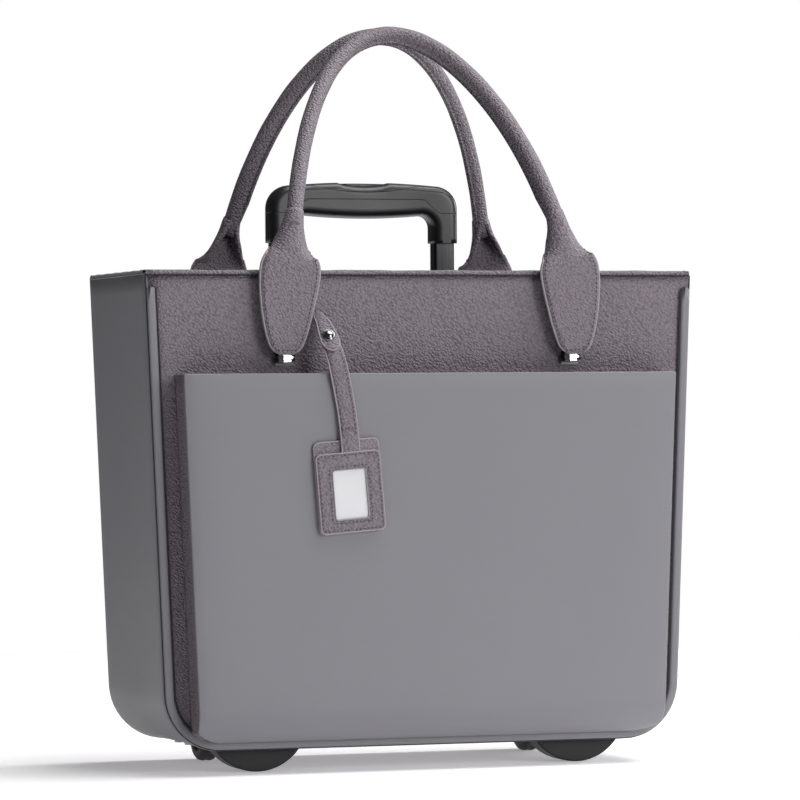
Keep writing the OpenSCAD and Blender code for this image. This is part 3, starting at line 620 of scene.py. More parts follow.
def paddle_section(v):
    """Radius and half angle of the leatherette's curl at a height up the paddle."""
    w = paddle_half(v)
    span = 2 * w + (max(sheet_span, 2 * w) - 2 * w) * min(1.0, max(0.0, (v - flat_v) / 0.035))
    low, high = 0.0, math.pi * 0.97
    for _ in range(40):
        mid = (low + high) / 2
        r = span / 2 / max(mid, 1e-6)
        wide = r * math.sin(mid) if mid < math.pi / 2 else r
        low, high = (mid, high) if wide > w else (low, mid)
    if v <= flat_v or low < w / flat_r:
        return flat_r, w / flat_r
    return w / math.sin(low) if low < math.pi / 2 else w, low


def paddle_point(h, end, v, s, inward):
    """A point on the paddle: v up from its foot, s across from -1 to 1, inward from its face."""
    turn = math.asin(min(1.0, max(0.0, v / arch_rise)))
    at, way, out, away = arch_frame(turn, h)
    r, half_angle = paddle_section(v)
    a = half_angle * s
    neck = min(1.0, max(0.0, (v - 0.07) / 0.035))
    face = 0.00235 + neck * 0.0041
    across = (r - inward) * math.sin(a)
    level = face - r + (r - inward) * math.cos(a)
    p = at + out * across + away * level
    if end < 0:
        p.x = -p.x
    return on_panel(h, p)


# pale beads along the edges of the paddles, straps and tag holder: painted highlight where the rounded edges
# catch the light
edge_highlight = fine_material("edge_highlight", (0.21, 0.185, 0.205), (0.29, 0.26, 0.285), 0.5,
                           relief=(0.00008, 0.4), in_scale=400.0, in_detail=2.0)
paddle_thick = 0.0036
lanes = 22
sewn_low, sewn_high = 0.0024, 0.080
stitch_margin = 0.0026


def paddle(name, h, end, body, replaced):
    bm = bmesh.new()
    rows = [0.0, 0.0004, 0.0012, 0.0026] + [0.005 + (paddle_h - 0.005) * i / 40 for i in range(41)]
    across = [-1 + 2 * k / lanes for k in range(lanes + 1)]
    rings = []
    for v in rows:
        ring = []
        for s in across:
            edge = 1 - abs(s)
            ring.append(paddle_point(h, end, v, s * 0.992, 0.0007 * max(0.0, 1 - edge / 0.06) ** 2
                                     - 0.0004 * min(1.0, edge / 0.12)))
        ring += [paddle_point(h, end, v, 1.0, paddle_thick * f) for f in (0.35, 0.65)]
        ring += [paddle_point(h, end, v, -s * 0.992, paddle_thick) for s in across]
        ring += [paddle_point(h, end, v, -1.0, paddle_thick * f) for f in (0.65, 0.35)]
        rings.append(ring)
    loft_rings(bm, rings)
    piece(name, bm, body, mauve_pebble, replaced, weld=1e-7)
    up = [sewn_low + (sewn_high - sewn_low) * i / 60 for i in range(61)]
    round_foot = [(-1, v) for v in reversed(up)] + [(1, v) for v in up]
    path = [paddle_point(h, end, v, s * (1 - stitch_margin / max(paddle_half(v), 0.003)), -0.0006)
            for s, v in round_foot]
    stitches(f"{name}_stitches", path, body, 0.0034, 0.0025, 0.0005)
    # a pale bead round the paddle's sides and foot: painted highlight
    round_foot[len(up):len(up)] = [(k / 6, 0.0) for k in range(-5, 6)]
    brim = [paddle_point(h, end, v, s, paddle_thick * 0.4) for s, v in round_foot]
    seam(f"{name}_painted_highlight", brim, body, 0.0011, edge_highlight)


for name, h in handles.items():
    body = f"{name}_handle"
    rolled_grip(f"{name}_grip_roll", h, body, [f"{name}_handle_roll"])
    for end, side in sides:
        paddle(f"{name}_{side}_paddle", h, end, body, [f"{name}_paddle_{side}"])

# ---- Handle straps and clips -----------------------------------------------------------------
# Behind each paddle a narrow lined strap carries a flat polished clip, which turns on a pin
# between the ears of a bracket riveted through the panel.
polished = fine_material("polished_chrome", (0.7, 0.7, 0.72), (0.86, 0.86, 0.88), 0.06, 0.08, (0.00002, 0.2),
                         metallic=1.0, in_scale=180.0, in_detail=3.0)
zinc = fine_material("zinc_plated", (0.42, 0.42, 0.43), (0.6, 0.6, 0.61), 0.25, 0.2, metallic=1.0,
                     in_scale=400.0, in_detail=2.0)
# a near-black metal, given to the brackets beside the clips
near_black_metal = fine_material("near_black_metal", (0.035, 0.034, 0.036), (0.07, 0.068, 0.07), 0.25, 0.1,
                             metallic=1.0, in_scale=400.0)


def dress(names, material):
    """Gives pieces of the frame a material and a slot."""
    for name in names:
        node[name].data.materials.clear()
        node[name].data.materials.append(material)


strap_w = 0.013
for name, h in handles.items():
    body = f"{name}_handle"
    for end, side in sides:
        x = end * (h["half"] - 0.001)
        low, high = pin_z + 0.0046, bend_z - 0.002
        bm = bmesh.new()
        rings = []
        for i in range(25):
            z = low + (high - low) * i / 24
            w = strap_w / 2 * (1 - 0.25 * max(0.0, 1 - i / 3))
            crown = 0.0003 * math.sin(math.pi * min(1.0, i / 24))
            outer = strap_out - 0.0002 + crown * 0.3
            inner_y = strap_out - 0.0020
            rings.append([on_panel(h, Vector((x + a * w, b, z))) for a, b in
                          ((-1, inner_y + 0.0004), (-0.94, inner_y), (0.94, inner_y), (1, inner_y + 0.0004),
                           (1, outer - 0.0004), (0.94, outer), (-0.94, outer), (-1, outer - 0.0004))])
        loft_rings(bm, rings)
        piece(f"{name}_{side}_inner_strap", bm, body, mauve_pebble, [f"{name}_handle_straps"])
        for k in (-1, 1):
            stitches(f"{name}_{side}_strap_stitches_{'ab'[k > 0]}",
                     [on_panel(h, Vector((x + k * (strap_w / 2 - 0.0018), strap_out - 0.0022, z)))
                      for z in (low + 0.03, high - 0.002)], body, 0.0031, 0.0022, 0.00028)
    dress([f"{name}_handle_brackets"], near_black_metal)
    dress([f"{name}_handle_clips"], polished)

# the polished face of each front clip, a plate with a crease, which shows just under the paddle
front = handles["front"]
for end, side in sides:
    x = end * (front["half"] - 0.001) - 0.0016
    bm = bmesh.new()
    loft_rings(bm, [[on_panel(front, Vector((x + a, b, pin_z + z))) for a, b in
                     ((-w, 0.0084), (-0.0012, 0.0097), (w, 0.0089), (w, 0.0079), (-0.0012, 0.0086),
                      (-w, 0.0076))]
                    for z, w in ((-0.0034, 0.0045), (-0.0030, 0.0048), (0.0110, 0.0048))])
    made = piece(f"front_{side}_clip_face", bm, "front_handle", polished)
    for poly in made.data.polygons:
        poly.use_smooth = False

# ---- Luggage tag -----------------------------------------------------------------------------
# A stitched strap loops through the handle strap, closes with a domed snap and carries a flat
# pebbled holder. A clear window on its face shows a plain white card.
tag_x = -0.094 + front_shift
tag_top = 0.353
holder_out = 0.03075
tag_path = [(0.0030, 0.0032, -0.0025, 0.0026), (0.0056, 0.009, -0.010, 0.0045), (0.0074, 0.019, -0.022, 0.0064),
            (0.0105, 0.0297, -0.039, 0.0068), (0.0146, holder_out, -0.059, 0.0069),
            (0.018, holder_out, -0.078, 0.0069), (0.0202, holder_out + 0.0009, -0.099, 0.0069),
            (0.0211, holder_out + 0.0011, -0.1125, 0.0069)]


def tag_station(t):
    """A smooth path down the tag strap: a point and half the width there."""
    t = min(max(t, 0.0), len(tag_path) - 1.0)
    i = min(int(t), len(tag_path) - 2)
    f = t - i
    pts = [tag_path[max(0, i - 1)], tag_path[i], tag_path[i + 1], tag_path[min(len(tag_path) - 1, i + 2)]]
    got = []
    for k in range(4):
        a, b, c, d = (q[k] for q in pts)
        got.append(0.5 * ((2 * b) + (c - a) * f + (2 * a - 5 * b + 4 * c - d) * f * f
                          + (3 * b - a - 3 * c + d) * f ** 3))
    return Vector((tag_x - front_shift + got[0], got[1], tag_top + got[2])), got[3]


def tag_frame(t):
    at, w = tag_station(t)
    way = (tag_station(t + 0.05)[0] - tag_station(t - 0.05)[0]).normalized()
    across = way.cross(Vector((0, 1, 0))).normalized()
    return at, w, way, across, across.cross(way)


def strap_ring(t, width, low, high):
    at, w, way, across, out = tag_frame(t)
    w *= width
    ring = [(-w, low + 0.0003), (-w + 0.0003, low), (w - 0.0003, low), (w, low + 0.0003), (w, high - 0.0004),
            (w - 0.0005, high), (0, high + 0.0002), (-w + 0.0005, high), (-w, high - 0.0004)]
    return [on_panel(front, at + across * a + out * b) for a, b in ring]


def tag_line(start, run, count, k, margin, high, widen=lambda t: 1.0):
    """Points along the strap's side k, margin in from its edge and high above its middle."""
    line = []
    for i in range(count):
        t = start + run * i / (count - 1)
        at, w, way, across, out = tag_frame(t)
        line.append(on_panel(front, at + across * (k * (w * widen(t) - margin)) + out * high))
    return line


def rod(bm, at, axis, radius, length, segments=20):
    """A round bar centred on a point, laid down by a quarter turn about the named axis."""
    bmesh.ops.create_cone(bm, segments=segments, radius1=radius, radius2=radius, depth=length, cap_ends=True,
                          matrix=Matrix.Translation(at) @ Matrix.Rotation(math.pi / 2, 4, axis))


bm = bmesh.new()
loft_rings(bm, [strap_ring(0.05 + 6.9 * i / 70, 1.0, -0.0012, 0.0009) for i in range(71)])
rod(bm, on_panel(front, Vector((-0.1017, 0.0035, tag_top))), "Y", 0.0028, 0.0148)
piece("tag_strap_long", bm, "tag", mauve_pebble, ["tag_strap"])
# the strap's stitches, and a pale bead along each edge that is a painted highlight
for k, label in ((-1, "a"), (1, "b")):
    stitches(f"tag_strap_stitches_{label}", tag_line(2.55, 3.35, 60, k, 0.0017, 0.0012), "tag",
             0.0032, 0.0022, 0.00042)
    seam(f"tag_strap_edge_{label}", tag_line(0.3, 6.5, 80, k, 0.0, 0.0004), "tag", 0.0007, edge_highlight)

# the loop's free end lies on the strap under the snap and ends in a rounded tip
loop_start, loop_run = 0.9, 1.75


def loop_width(t):
    along = (t - loop_start) / loop_run * 20
    return 1.06 * math.sqrt(max(0.02, 1 - max(0.0, (along - 15) / 5.0) ** 2))


bm = bmesh.new()
ts = [loop_start + loop_run * i / 20 for i in range(21)]
loft_rings(bm, [strap_ring(t, loop_width(t), 0.0013, 0.0030) for t in ts])
piece("tag_loop_end", bm, "tag", mauve_pebble)
for k, label in ((-1, "a"), (1, "b")):
    stitches(f"tag_loop_stitches_{label}", tag_line(1.1, 1.1, 20, k, 0.0012, 0.0033), "tag",
             0.0032, 0.0022, 0.0004)
# a pale bead round the loop end's edge: painted highlight
loop_edge = [tag_line(loop_start, loop_run, 36, k, 0.0, 0.0024, loop_width) for k in (-1, 1)]
seam("tag_loop_edge", loop_edge[0] + loop_edge[1][::-1], "tag", 0.0007, edge_highlight)


def spin(bm, axis, steps):
    bmesh.ops.spin(bm, geom=bm.verts[:] + bm.edges[:], cent=(0, 0, 0), axis=axis, angle=math.tau, steps=steps,
                   use_merge=True)


# domed snap, spun from its half section
at, w, way, across, out = tag_frame(2.0)
bm = bmesh.new()
section = [(0.0, 0.0030), (0.0012, 0.00290), (0.0024, 0.0025), (0.0034, 0.0018), (0.0040, 0.0011),
           (0.0043, 0.0010), (0.0047, 0.0010), (0.0050, 0.0006), (0.0050, 0.0)]
chain(bm, [Vector((r, 0, z)) for r, z in section])
spin(bm, (0, 0, 1), 40)
middle = on_panel(front, at + out * 0.0031)
facing = (on_panel(front, at + out) - on_panel(front, at)).normalized()
bmesh.ops.transform(bm, matrix=Matrix.Translation(middle) @ facing.to_track_quat("Z", "Y").to_matrix().to_4x4(),
                    verts=bm.verts)
gunmetal = fine_material("gunmetal_snap", (0.2, 0.195, 0.2), (0.3, 0.295, 0.3), 0.1, 0.1, metallic=1.0,
                         in_scale=500.0)
piece("tag_snap_cap", bm, "tag", gunmetal, ["tag_snap"])

holder_at = Vector((tag_x - front_shift + 0.020, holder_out, tag_top - 0.135))
holder_turn = Matrix.Translation(on_panel(front, holder_at)) @ Matrix.Rotation(math.radians(-4.5), 4, "Y")


def rounded_plate(w, h, r, steps=6):
    """The corner points of a rounded plate in XZ, clockwise."""
    points = []
    cx, cz = w / 2 - r, h / 2 - r
    for x, z, a0 in ((cx, cz, 0), (-cx, cz, 90), (-cx, -cz, 180), (cx, -cz, 270)):
        for i in range(steps + 1):
            a = math.radians(a0 + 90 * i / steps)
            points.append(Vector((x + r * math.cos(a), 0, z + r * math.sin(a))))
    return points


def plate_rings(w, h, r, centre_z, levels):
    """Rings of a rounded plate for pairs of depth and inset, placed on the holder."""
    rings = []
    for y, inset in levels:
        rings.append([holder_turn @ Vector((p.x, y, p.z + centre_z))
                      for p in rounded_plate(w - 2 * inset, h - 2 * inset, max(0.0008, r - inset))])
    return rings


bm = bmesh.new()
loft_rings(bm, plate_rings(0.052, 0.070, 0.0045, 0.0, [(0.0022, 0.0006), (0.0019, 0.0), (0.0004, 0.0),
                                                       (0.0, 0.0005)]))
piece("tag_back_leaf", bm, "tag", mauve_pebble)
# the front leaf is an open frame round the window
bm = bmesh.new()
window_z = -0.006
outer = plate_rings(0.0512, 0.0605, 0.0042, -0.0045, [(-0.0001, 0.0), (-0.0018, 0.0), (-0.0023, 0.0005),
                                                      (-0.0024, 0.0025)])
hole = plate_rings(0.0265, 0.0375, 0.0022, window_z, [(-0.0024, -0.0022), (-0.0022, -0.0005), (-0.0018, 0.0),
                                                      (-0.0001, 0.0)])
loft_rings(bm, outer + hole, caps=False)
fill_holes(bm)
piece("tag_front_leaf", bm, "tag", mauve_pebble, ["tag_holder"])


def plate_line(w, h, r, centre_z, depth):
    points = [holder_turn @ Vector((p.x, depth, p.z + centre_z)) for p in rounded_plate(w, h, r)]
    return points + points[:1]


for label, line in (("holder", plate_line(0.0478, 0.0570, 0.003, -0.0045, -0.0026)),
                    ("window", plate_line(0.0318, 0.0428, 0.0025, window_z, -0.0026))):
    stitches(f"tag_{label}_stitches", line, "tag", 0.0031, 0.0022, 0.00042)
at, w, way, across, out = tag_frame(5.6)
cross = [on_panel(front, at + across * (k * 0.0052) + out * 0.0012) for k in (-1, 1)]
stitches("tag_cross_stitches", cross, "tag", 0.0027, 0.0020, 0.0005)
# pale beads round the back leaf, the front leaf and the window: painted highlight on their edges
for label, line, radius in (("back", plate_line(0.0516, 0.0696, 0.0043, 0.0, 0.0006), 0.0007),
                            ("front", plate_line(0.0508, 0.0601, 0.0040, -0.0045, -0.0018), 0.0007),
                            ("window", plate_line(0.0268, 0.0378, 0.0023, window_z, -0.0022), 0.0005)):
    seam(f"tag_{label}_edge", line, "tag", radius, edge_highlight)

card = fine_material("coated_card", (0.58, 0.58, 0.60), (0.66, 0.66, 0.67), 0.45, relief=(0.00002, 0.3),
                     in_scale=700.0, in_detail=4.0)
film, tree, shader, where = new_material("clear_vinyl")
ripple = add(tree, "ShaderNodeTexNoise", where, in_scale=60.0)
shader.inputs["Base Color"].default_value = (0.95, 0.95, 0.97, 1)
shader.inputs["Roughness"].default_value = 0.08
shader.inputs["Alpha"].default_value = 0.18
bump(tree, shader, ripple.outputs["Fac"], 0.0004, 0.2)
dress(["tag_card"], card)
dress(["tag_window"], film)

# ---- Pull handle -----------------------------------------------------------------------------
# The hand grip is moulded in two shells that meet on a stepped parting line; a dished push button
# sits in its crown. It is screwed on two black anodised tubes.
def moulded_plastic(name):
    """The start of a black plastic: a fine grain for relief and a broad cloud for colour and gloss."""
    material, tree, shader, where = new_material(name)
    grain = add(tree, "ShaderNodeTexNoise", where, in_scale=1400.0, in_detail=2.0).outputs["Fac"]
    broad = add(tree, "ShaderNodeTexNoise", where, in_scale=25.0, in_detail=3.0).outputs["Fac"]
    return material, tree, shader, where, grain, broad


satin_black, tree, shader, where, grain, broad = moulded_plastic("satin_black_plastic")
tree.links.new(between(tree, broad, (0.006, 0.006, 0.0075), (0.012, 0.012, 0.014)), shader.inputs["Base Color"])
tree.links.new(scaled(tree, broad, 0.14, 0.33), shader.inputs["Roughness"])
bump(tree, shader, grain, 0.00005, 0.5)
shader.inputs["Specular IOR Level"].default_value = 0.26

grip_low, grip_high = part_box("grip_lower")[0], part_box("grip_upper")[1]
tube_y = (grip_low.y + grip_high.y) / 2
grip_top = grip_high.z
grip_foot = grip_low.z

# the grip's plastic is lighter, with the two moulded lines worked into it
grip_black, tree, shader, where, grain, broad = moulded_plastic("grip_plastic")
split = add(tree, "ShaderNodeSeparateXYZ")
tree.links.new(where, split.inputs[0])
wide = math_node(tree, "ABSOLUTE", split.outputs["X"])
ease = add(tree, "ShaderNodeMapRange", interpolation_type="SMOOTHSTEP", in_from_min=0.047, in_from_max=0.064,
           in_to_min=grip_top - 0.0140, in_to_max=grip_top - 0.0250)
tree.links.new(wide, ease.inputs["Value"])
smile = scaled(tree, math_node(tree, "MULTIPLY", wide, wide), 2.6, grip_top - 0.0085)
lines = [math_node(tree, "ABSOLUTE", math_node(tree, "SUBTRACT", split.outputs["Z"], z))
         for z in (ease.outputs[0], smile)]
cut = add(tree, "ShaderNodeMapRange", in_from_min=0.00012, in_from_max=0.00042)
tree.links.new(math_node(tree, "MINIMUM", *lines), cut.inputs["Value"])
shade = add(tree, "ShaderNodeMix", data_type="RGBA")
tree.links.new(cut.outputs[0], shade.inputs["Factor"])
shade.inputs["A"].default_value = (0.004, 0.004, 0.005, 1)
tree.links.new(between(tree, broad, (0.011, 0.011, 0.013), (0.019, 0.018, 0.022)), shade.inputs["B"])
tree.links.new(shade.outputs["Result"], shader.inputs["Base Color"])
tree.links.new(scaled(tree, broad, 0.12, 0.32), shader.inputs["Roughness"])
low = bump(tree, shader, cut.outputs[0], 0.0005, 0.8)
bump(tree, shader, grain, 0.00005, 0.5, low)

grip_half = grip_high.x
leg_w = 0.0215
grip_deep = 0.0119
grip_bend_r, under_bend_r = 0.0185, 0.0095


def crown_z(x, inset):
    """The bar's upper line, a shallow arch."""
    return grip_top - 0.0001 - inset - 0.72 * x * x


def grip_outline(inset):
    """The grip's outline drawn in by inset: left foot, over the top, right foot, back under the bar."""
    outer_r, inner_r = grip_bend_r - inset, under_bend_r + inset
    top_x, under_z = grip_half - grip_bend_r, grip_top - 0.0290 + inset
    mid_z = crown_z(top_x, 0) - grip_bend_r
    right = [Vector((0.004 + (top_x - 0.004) * i / 16, 0, 0)) for i in range(16)]
    for p in right:
        p.z = crown_z(p.x, inset)
    for i in range(13):
        a = math.pi / 2 * (1 - i / 12)
        right.append(Vector((top_x + outer_r * math.cos(a), 0, mid_z + outer_r * math.sin(a))))
    right += [Vector((grip_half - inset, 0, mid_z + (grip_foot - mid_z) * i / 8)) for i in range(1, 9)]
    inner_x = grip_half - leg_w + inset
    bend_z = under_z + 0.0022 - under_bend_r - inset
    right += [Vector((inner_x, 0, grip_foot + (bend_z - grip_foot) * i / 5)) for i in range(6)]
    for i in range(1, 11):
        a = math.pi / 2 * i / 10
        right.append(Vector((inner_x - inner_r + inner_r * math.cos(a), 0, bend_z + inner_r * math.sin(a))))
    start = right[-1].copy()
    for i in range(1, 12):
        back = 1 - i / 12
        right.append(Vector((start.x * back, 0, under_z + (start.z - under_z) * back ** 2)))
    return both_sides(right)


bm = bmesh.new()
rings = []
for i in range(-11, 12):
    a = math.pi / 2 * i / 11
    y = math.copysign(abs(math.sin(a)) ** 0.75, a) * grip_deep
    ring = grip_outline(0.0072 * (1 - abs(math.cos(a)) ** 0.75))
    for p in ring:
        # the top is hollowed towards the front, round the push button
        near = max(0.0, 1 - (p.x / 0.0215) ** 2) * max(0.0, min(1.0, (0.0060 - y) / 0.004))
        if p.z > grip_top - 0.013:
            p.z -= 0.0034 * near ** 0.8
        p.y = tube_y + y
    rings.append(ring)
loft_rings(bm, rings)
grip = piece("grip_shell", bm, "trolley_top", grip_black, ["grip_lower", "grip_upper"])
for poly in grip.data.polygons:
    poly.use_smooth = abs(poly.normal.y) < 0.999

anodised = fine_material("black_anodised", (0.018, 0.018, 0.02), (0.04, 0.04, 0.043), 0.2, 0.15, (0.00003, 0.3),
                         metallic=0.6, stretch=(1.0, 1.0, 0.02), in_scale=300.0, in_detail=2.0)
dress(["trolley_outer_tubes", "trolley_mid_tubes", "trolley_top_tubes"], anodised)
dress(["trolley_base", "trolley_bezel", "trolley_mid_collars", "release_button", "wheel_housing_left",
       "wheel_housing_right", "wheel_hub_left", "wheel_hub_right"], satin_black)
dress(["release_linkage", "wheel_axles", "housing_screws", "foot_screws"], zinc)
dress(["pocket_snap_discs"], polished)

# ---- Feet and wheels -------------------------------------------------------------------------
# Two half-round moulded feet are screwed up through the base board. The wheels are rubber tyres
# on spoked plastic hubs.
rubber = fine_material("wheel_rubber", (0.018, 0.018, 0.02), (0.04, 0.038, 0.04), 0.62, relief=(0.0001, 0.3),
                       in_scale=120.0, in_detail=4.0)
foot_r = 0.0415


def block(bm, at, size, turn=Matrix()):
    bmesh.ops.create_cube(bm, size=1.0, matrix=turn @ Matrix.Translation(at) @ Matrix.Diagonal((*size, 1)))


def round_edges(bm, edges, width, segments):
    bmesh.ops.bevel(bm, geom=edges, offset=width, segments=segments, profile=0.5, affect="EDGES", material=-1)


for _, side in sides:
    low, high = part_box(f"front_foot_{side}")
    centre = (low + high) / 2
    bm = bmesh.new()
    rod(bm, (centre.x, centre.y, foot_r), "X", foot_r, high.y - low.y, 120)
    bisect(bm, (0, 0, base_z), (0, 0, 1), clear_outer=True)
    fill_holes(bm)
    round_edges(bm, [e for e in bm.edges if e.is_manifold and e.calc_face_angle() > 1.0], 0.0011, 3)
    foot = piece(f"foot_{side}", bm, "bag", satin_black, [f"front_foot_{side}"])
    for poly in foot.data.polygons:
        poly.use_smooth = False
    low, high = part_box(f"wheel_tyre_{side}")
    centre = (low + high) / 2
    w, r = (high.x - low.x) / 2, (high.z - low.z) / 2
    # half of the tyre's section as pairs of radius and distance out; the other half mirrors it
    half = [(r - 0.0008, 0.0009), (r, 0.0014), (r, w - 0.004), (r - 0.0007, w - 0.002),
            (r - 0.0022, w - 0.0006), (r - 0.004, w), (0.0165, w), (0.0149, w - 0.0006)]
    section = [(r_, -x_) for r_, x_ in reversed(half)] + half
    bm = bmesh.new()
    verts = [bm.verts.new((x_, 0, r_)) for r_, x_ in section]
    for a, b in zip(verts, verts[1:] + verts[:1]):
        bm.edges.new((a, b))
    spin(bm, (1, 0, 0), 96)
    bmesh.ops.translate(bm, vec=centre, verts=bm.verts)
    piece(f"tyre_{side}", bm, f"wheel_{side}", rubber, [f"wheel_tyre_{side}"])
    # five raised spokes on each face of the hub
    bm = bmesh.new()
    for face in (-1, 1):
        for k in range(5):
            turn = Matrix.Translation(centre) @ Matrix.Rotation(math.tau * k / 5, 4, "X")
            block(bm, (face * 0.0062, 0, 0.0104), (0.0009, 0.0026, 0.0072), turn)
    round_edges(bm, bm.edges[:], 0.0003, 2)
    piece(f"spokes_{side}", bm, f"wheel_{side}", satin_black)

# ---- Lining, divider and zip -----------------------------------------------------------------
# A woven lining hangs inside the shell; a padded divider stands in front of the laptop's place.
# Two fabric flaps fold in from the front and back and close with one zip.
lining, tree, shader, where = new_material("woven_lining")
warp, weft = [add(tree, "ShaderNodeTexWave", where, wave_type="BANDS", bands_direction=way,
                  in_scale=700.0).outputs["Fac"] for way in "XZ"]
slub = add(tree, "ShaderNodeTexNoise", where, in_scale=90.0, in_detail=3.0).outputs["Fac"]
crossing = math_node(tree, "MULTIPLY", math_node(tree, "ADD", warp, weft), 0.5)
tone = scaled(tree, crossing, 0.5, math_node(tree, "MULTIPLY", slub, 0.5))
tree.links.new(between(tree, tone, (0.045, 0.04, 0.046), (0.12, 0.108, 0.12)), shader.inputs["Base Color"])
shader.inputs["Roughness"].default_value = 0.8
shader.inputs["Sheen Weight"].default_value = 0.3
bump(tree, shader, crossing, 0.00012, 0.6)

lining_front, lining_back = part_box("lining")[0].y + 0.0006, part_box("trolley_cover")[0].y - 0.0006
lining_inset = 0.0037
lining_top = hem_z - 0.0008
bm = bmesh.new()
strips = []
for i in range(15):
    t = i / 14
    y = lining_front + (lining_back - lining_front) * t
    strips.append(both_sides(right_edge(y, lining_inset + 0.0002 * math.sin(t * 19), lining_top)))
loft(bm, strips)
for y in (lining_front, lining_back):
    edge = right_edge(y, lining_inset, lining_top)
    loft(bm, [edge, mirrored(edge)])
cut_bays(bm)
piece("lining_bag", bm, "bag", lining, ["lining", "trolley_cover"], weld=1e-5)

bm = bmesh.new()
low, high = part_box("base_board")
block(bm, ((low.x + high.x) / 2, (low.y + bay_front_y) / 2 - 0.001, (low.z + high.z) / 2),
      (high.x - low.x, bay_front_y - low.y - 0.003, high.z - low.z - 0.0002))
round_edges(bm, bm.edges[:], 0.0011, 3)
piece("covered_base_board", bm, "bag", lining, ["base_board"])

low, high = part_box("laptop_divider")
divider_inset = 0.0052
bm = bmesh.new()
rings = []
for y, inset in ((low.y + 0.0003, 0.030), (low.y + 0.0003, 0.012), (low.y + 0.0005, 0.0075),
                 (low.y + 0.0013, 0.0055), (low.y + 0.0020, divider_inset), (high.y - 0.0013, 0.0055),
                 (high.y - 0.0005, 0.0075), (high.y - 0.0003, 0.012), (high.y - 0.0003, 0.030)):
    rings.append(both_sides(right_edge(y, inset, high.z - (inset - divider_inset))))
loft_rings(bm, rings)
bisect(bm, (0, 0, low.z + 0.0003), (0, 0, 1), clear_inner=True)
fill_holes(bm)
piece("padded_divider", bm, "bag", lining, ["laptop_divider"])

zip_black = fine_material("zip_nylon", (0.01, 0.01, 0.011), (0.03, 0.03, 0.032), 0.4, in_scale=900.0)
tooth_pitch = 0.0016

for side in ("front", "rear"):
    low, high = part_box(f"zip_flap_{side}")
    teeth_low, teeth_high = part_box(f"zip_teeth_{side}")
    y = (low.y + high.y) / 2
    fold_z = high.z - (high.y - low.y) / 2
    columns = []
    for i in range(61):
        x = low.x + 0.0005 + (high.x - low.x - 0.001) * i / 60
        columns.append([Vector((x, y + 0.00025 * math.sin(x * 60 + k) * math.sin(math.pi * k / 12),
                                fold_z - (fold_z - low.z) * k / 12)) for k in range(13)])
    bm = bmesh.new()
    loft(bm, columns)
    flap = piece(f"flap_{side}", bm, f"flap_{side}", lining, [f"zip_flap_{side}"])
    thicken(flap, 0.0011, offset=0.0)
    bm = bmesh.new()
    rod(bm, (0, y, fold_z), "Y", 0.0021, high.x - low.x - 0.001)
    piece(f"flap_cord_{side}", bm, f"flap_{side}", lining)
    # the tape's woven edge and its row of moulded teeth
    bm = bmesh.new()
    for i in range(int((teeth_high.x - teeth_low.x) / tooth_pitch)):
        block(bm, (teeth_low.x + tooth_pitch / 2 + tooth_pitch * i, y, teeth_low.z + 0.0011),
              (0.0009, 0.0021, 0.0021))
    block(bm, (0, y, (teeth_low.z + teeth_high.z) / 2 + 0.0006),
          (teeth_high.x - teeth_low.x, 0.0010, teeth_high.z - teeth_low.z - 0.0012))
    piece(f"zip_chain_{side}", bm, f"flap_{side}", zip_black, [f"zip_teeth_{side}"], weld=1e-9)

dress(["zip_slider"], gunmetal)
low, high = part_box("zip_slider")
bm = bmesh.new()
block(bm, ((low.x + high.x) / 2, high.y + 0.0007, (low.z + high.z) / 2 - 0.0090), (0.0046, 0.0011, 0.0220))
round_edges(bm, bm.edges[:], 0.0004, 2)
piece("slider_pull", bm, "slider", gunmetal)

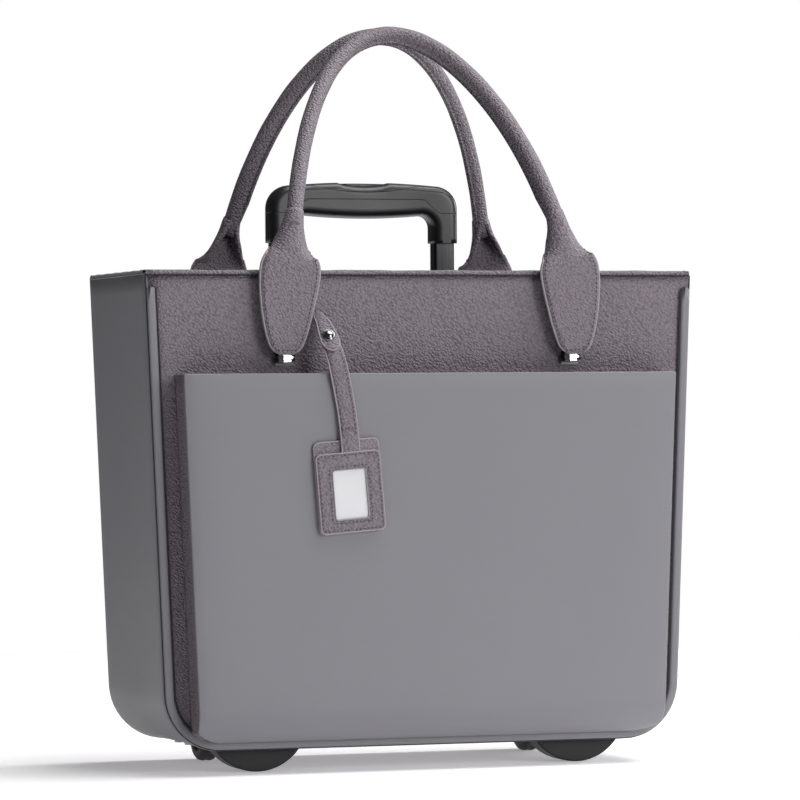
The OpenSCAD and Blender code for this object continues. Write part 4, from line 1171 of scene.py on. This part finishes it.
# ---- Studio ----------------------------------------------------------------------------------
# A pale floor that glows a little like a light table, a softbox overhead and two from the right.
paper, tree, shader, where = new_material("studio_paper")
shader.inputs["Base Color"].default_value = (0.93, 0.93, 0.935, 1)
shader.inputs["Roughness"].default_value = 0.9
shader.inputs["Specular IOR Level"].default_value = 0.1
shader.inputs["Emission Color"].default_value = (1.0, 0.975, 0.99, 1)
shader.inputs["Emission Strength"].default_value = 0.29


def place(name, data):
    made = bpy.data.objects.new(name, data)
    bpy.context.scene.collection.objects.link(made)
    return made


bm = bmesh.new()
bmesh.ops.create_circle(bm, cap_ends=True, segments=96, radius=1.7)
mesh = bpy.data.meshes.new("floor")
bm.to_mesh(mesh)
bm.free()
mesh.materials.append(paper)
place("floor", mesh)


def softbox(name, at, target, size, power):
    lamp = bpy.data.lights.new(name, "AREA")
    lamp.shape = "SQUARE"
    lamp.size = size
    lamp.energy = power
    made = place(name, lamp)
    made.location = at
    made.rotation_mode = "QUATERNION"
    made.rotation_quaternion = (Vector(target) - Vector(at)).to_track_quat("-Z", "Y")


softbox("overhead", (0.9, -0.2, 2.3), (0.1, 0, 0), 2.2, 88)
softbox("key", (1.7, -3.4, 1.1), (0, 0, 0.25), 1.5, 74)
softbox("edge", (2.9, 0.5, 1.1), (0, 0, 0.35), 0.9, 36)

world = bpy.data.worlds.new("studio")
bpy.context.scene.world = world
world.use_nodes = True
tree = world.node_tree
white = (1, 1, 1, 1)
sky = tree.nodes["Background"]
sky.inputs["Color"].default_value = white
sky.inputs["Strength"].default_value = 0.06
seen = add(tree, "ShaderNodeBackground", in_color=white, in_strength=1.0)
path = tree.nodes.new("ShaderNodeLightPath")
pick = tree.nodes.new("ShaderNodeMixShader")
tree.links.new(path.outputs["Is Camera Ray"], pick.inputs[0])
tree.links.new(sky.outputs[0], pick.inputs[1])
tree.links.new(seen.outputs[0], pick.inputs[2])
tree.links.new(pick.outputs[0], tree.nodes["World Output"].inputs["Surface"])
bpy.context.scene.view_settings.view_transform = "Standard"

camera = bpy.data.cameras.new("camera")
camera.lens = 211.96
camera.sensor_width = 36
camera.clip_end = 100
shot = place("camera", camera)
shot.matrix_world = Matrix(((0.948661, 0.006489, -0.316228, -1.16291),
                            (-0.316216, -0.002862, -0.948683, -3.50336),
                            (-0.007061, 0.999975, -0.000664, 0.28081), (0, 0, 0, 1)))
bpy.context.scene.camera = shot
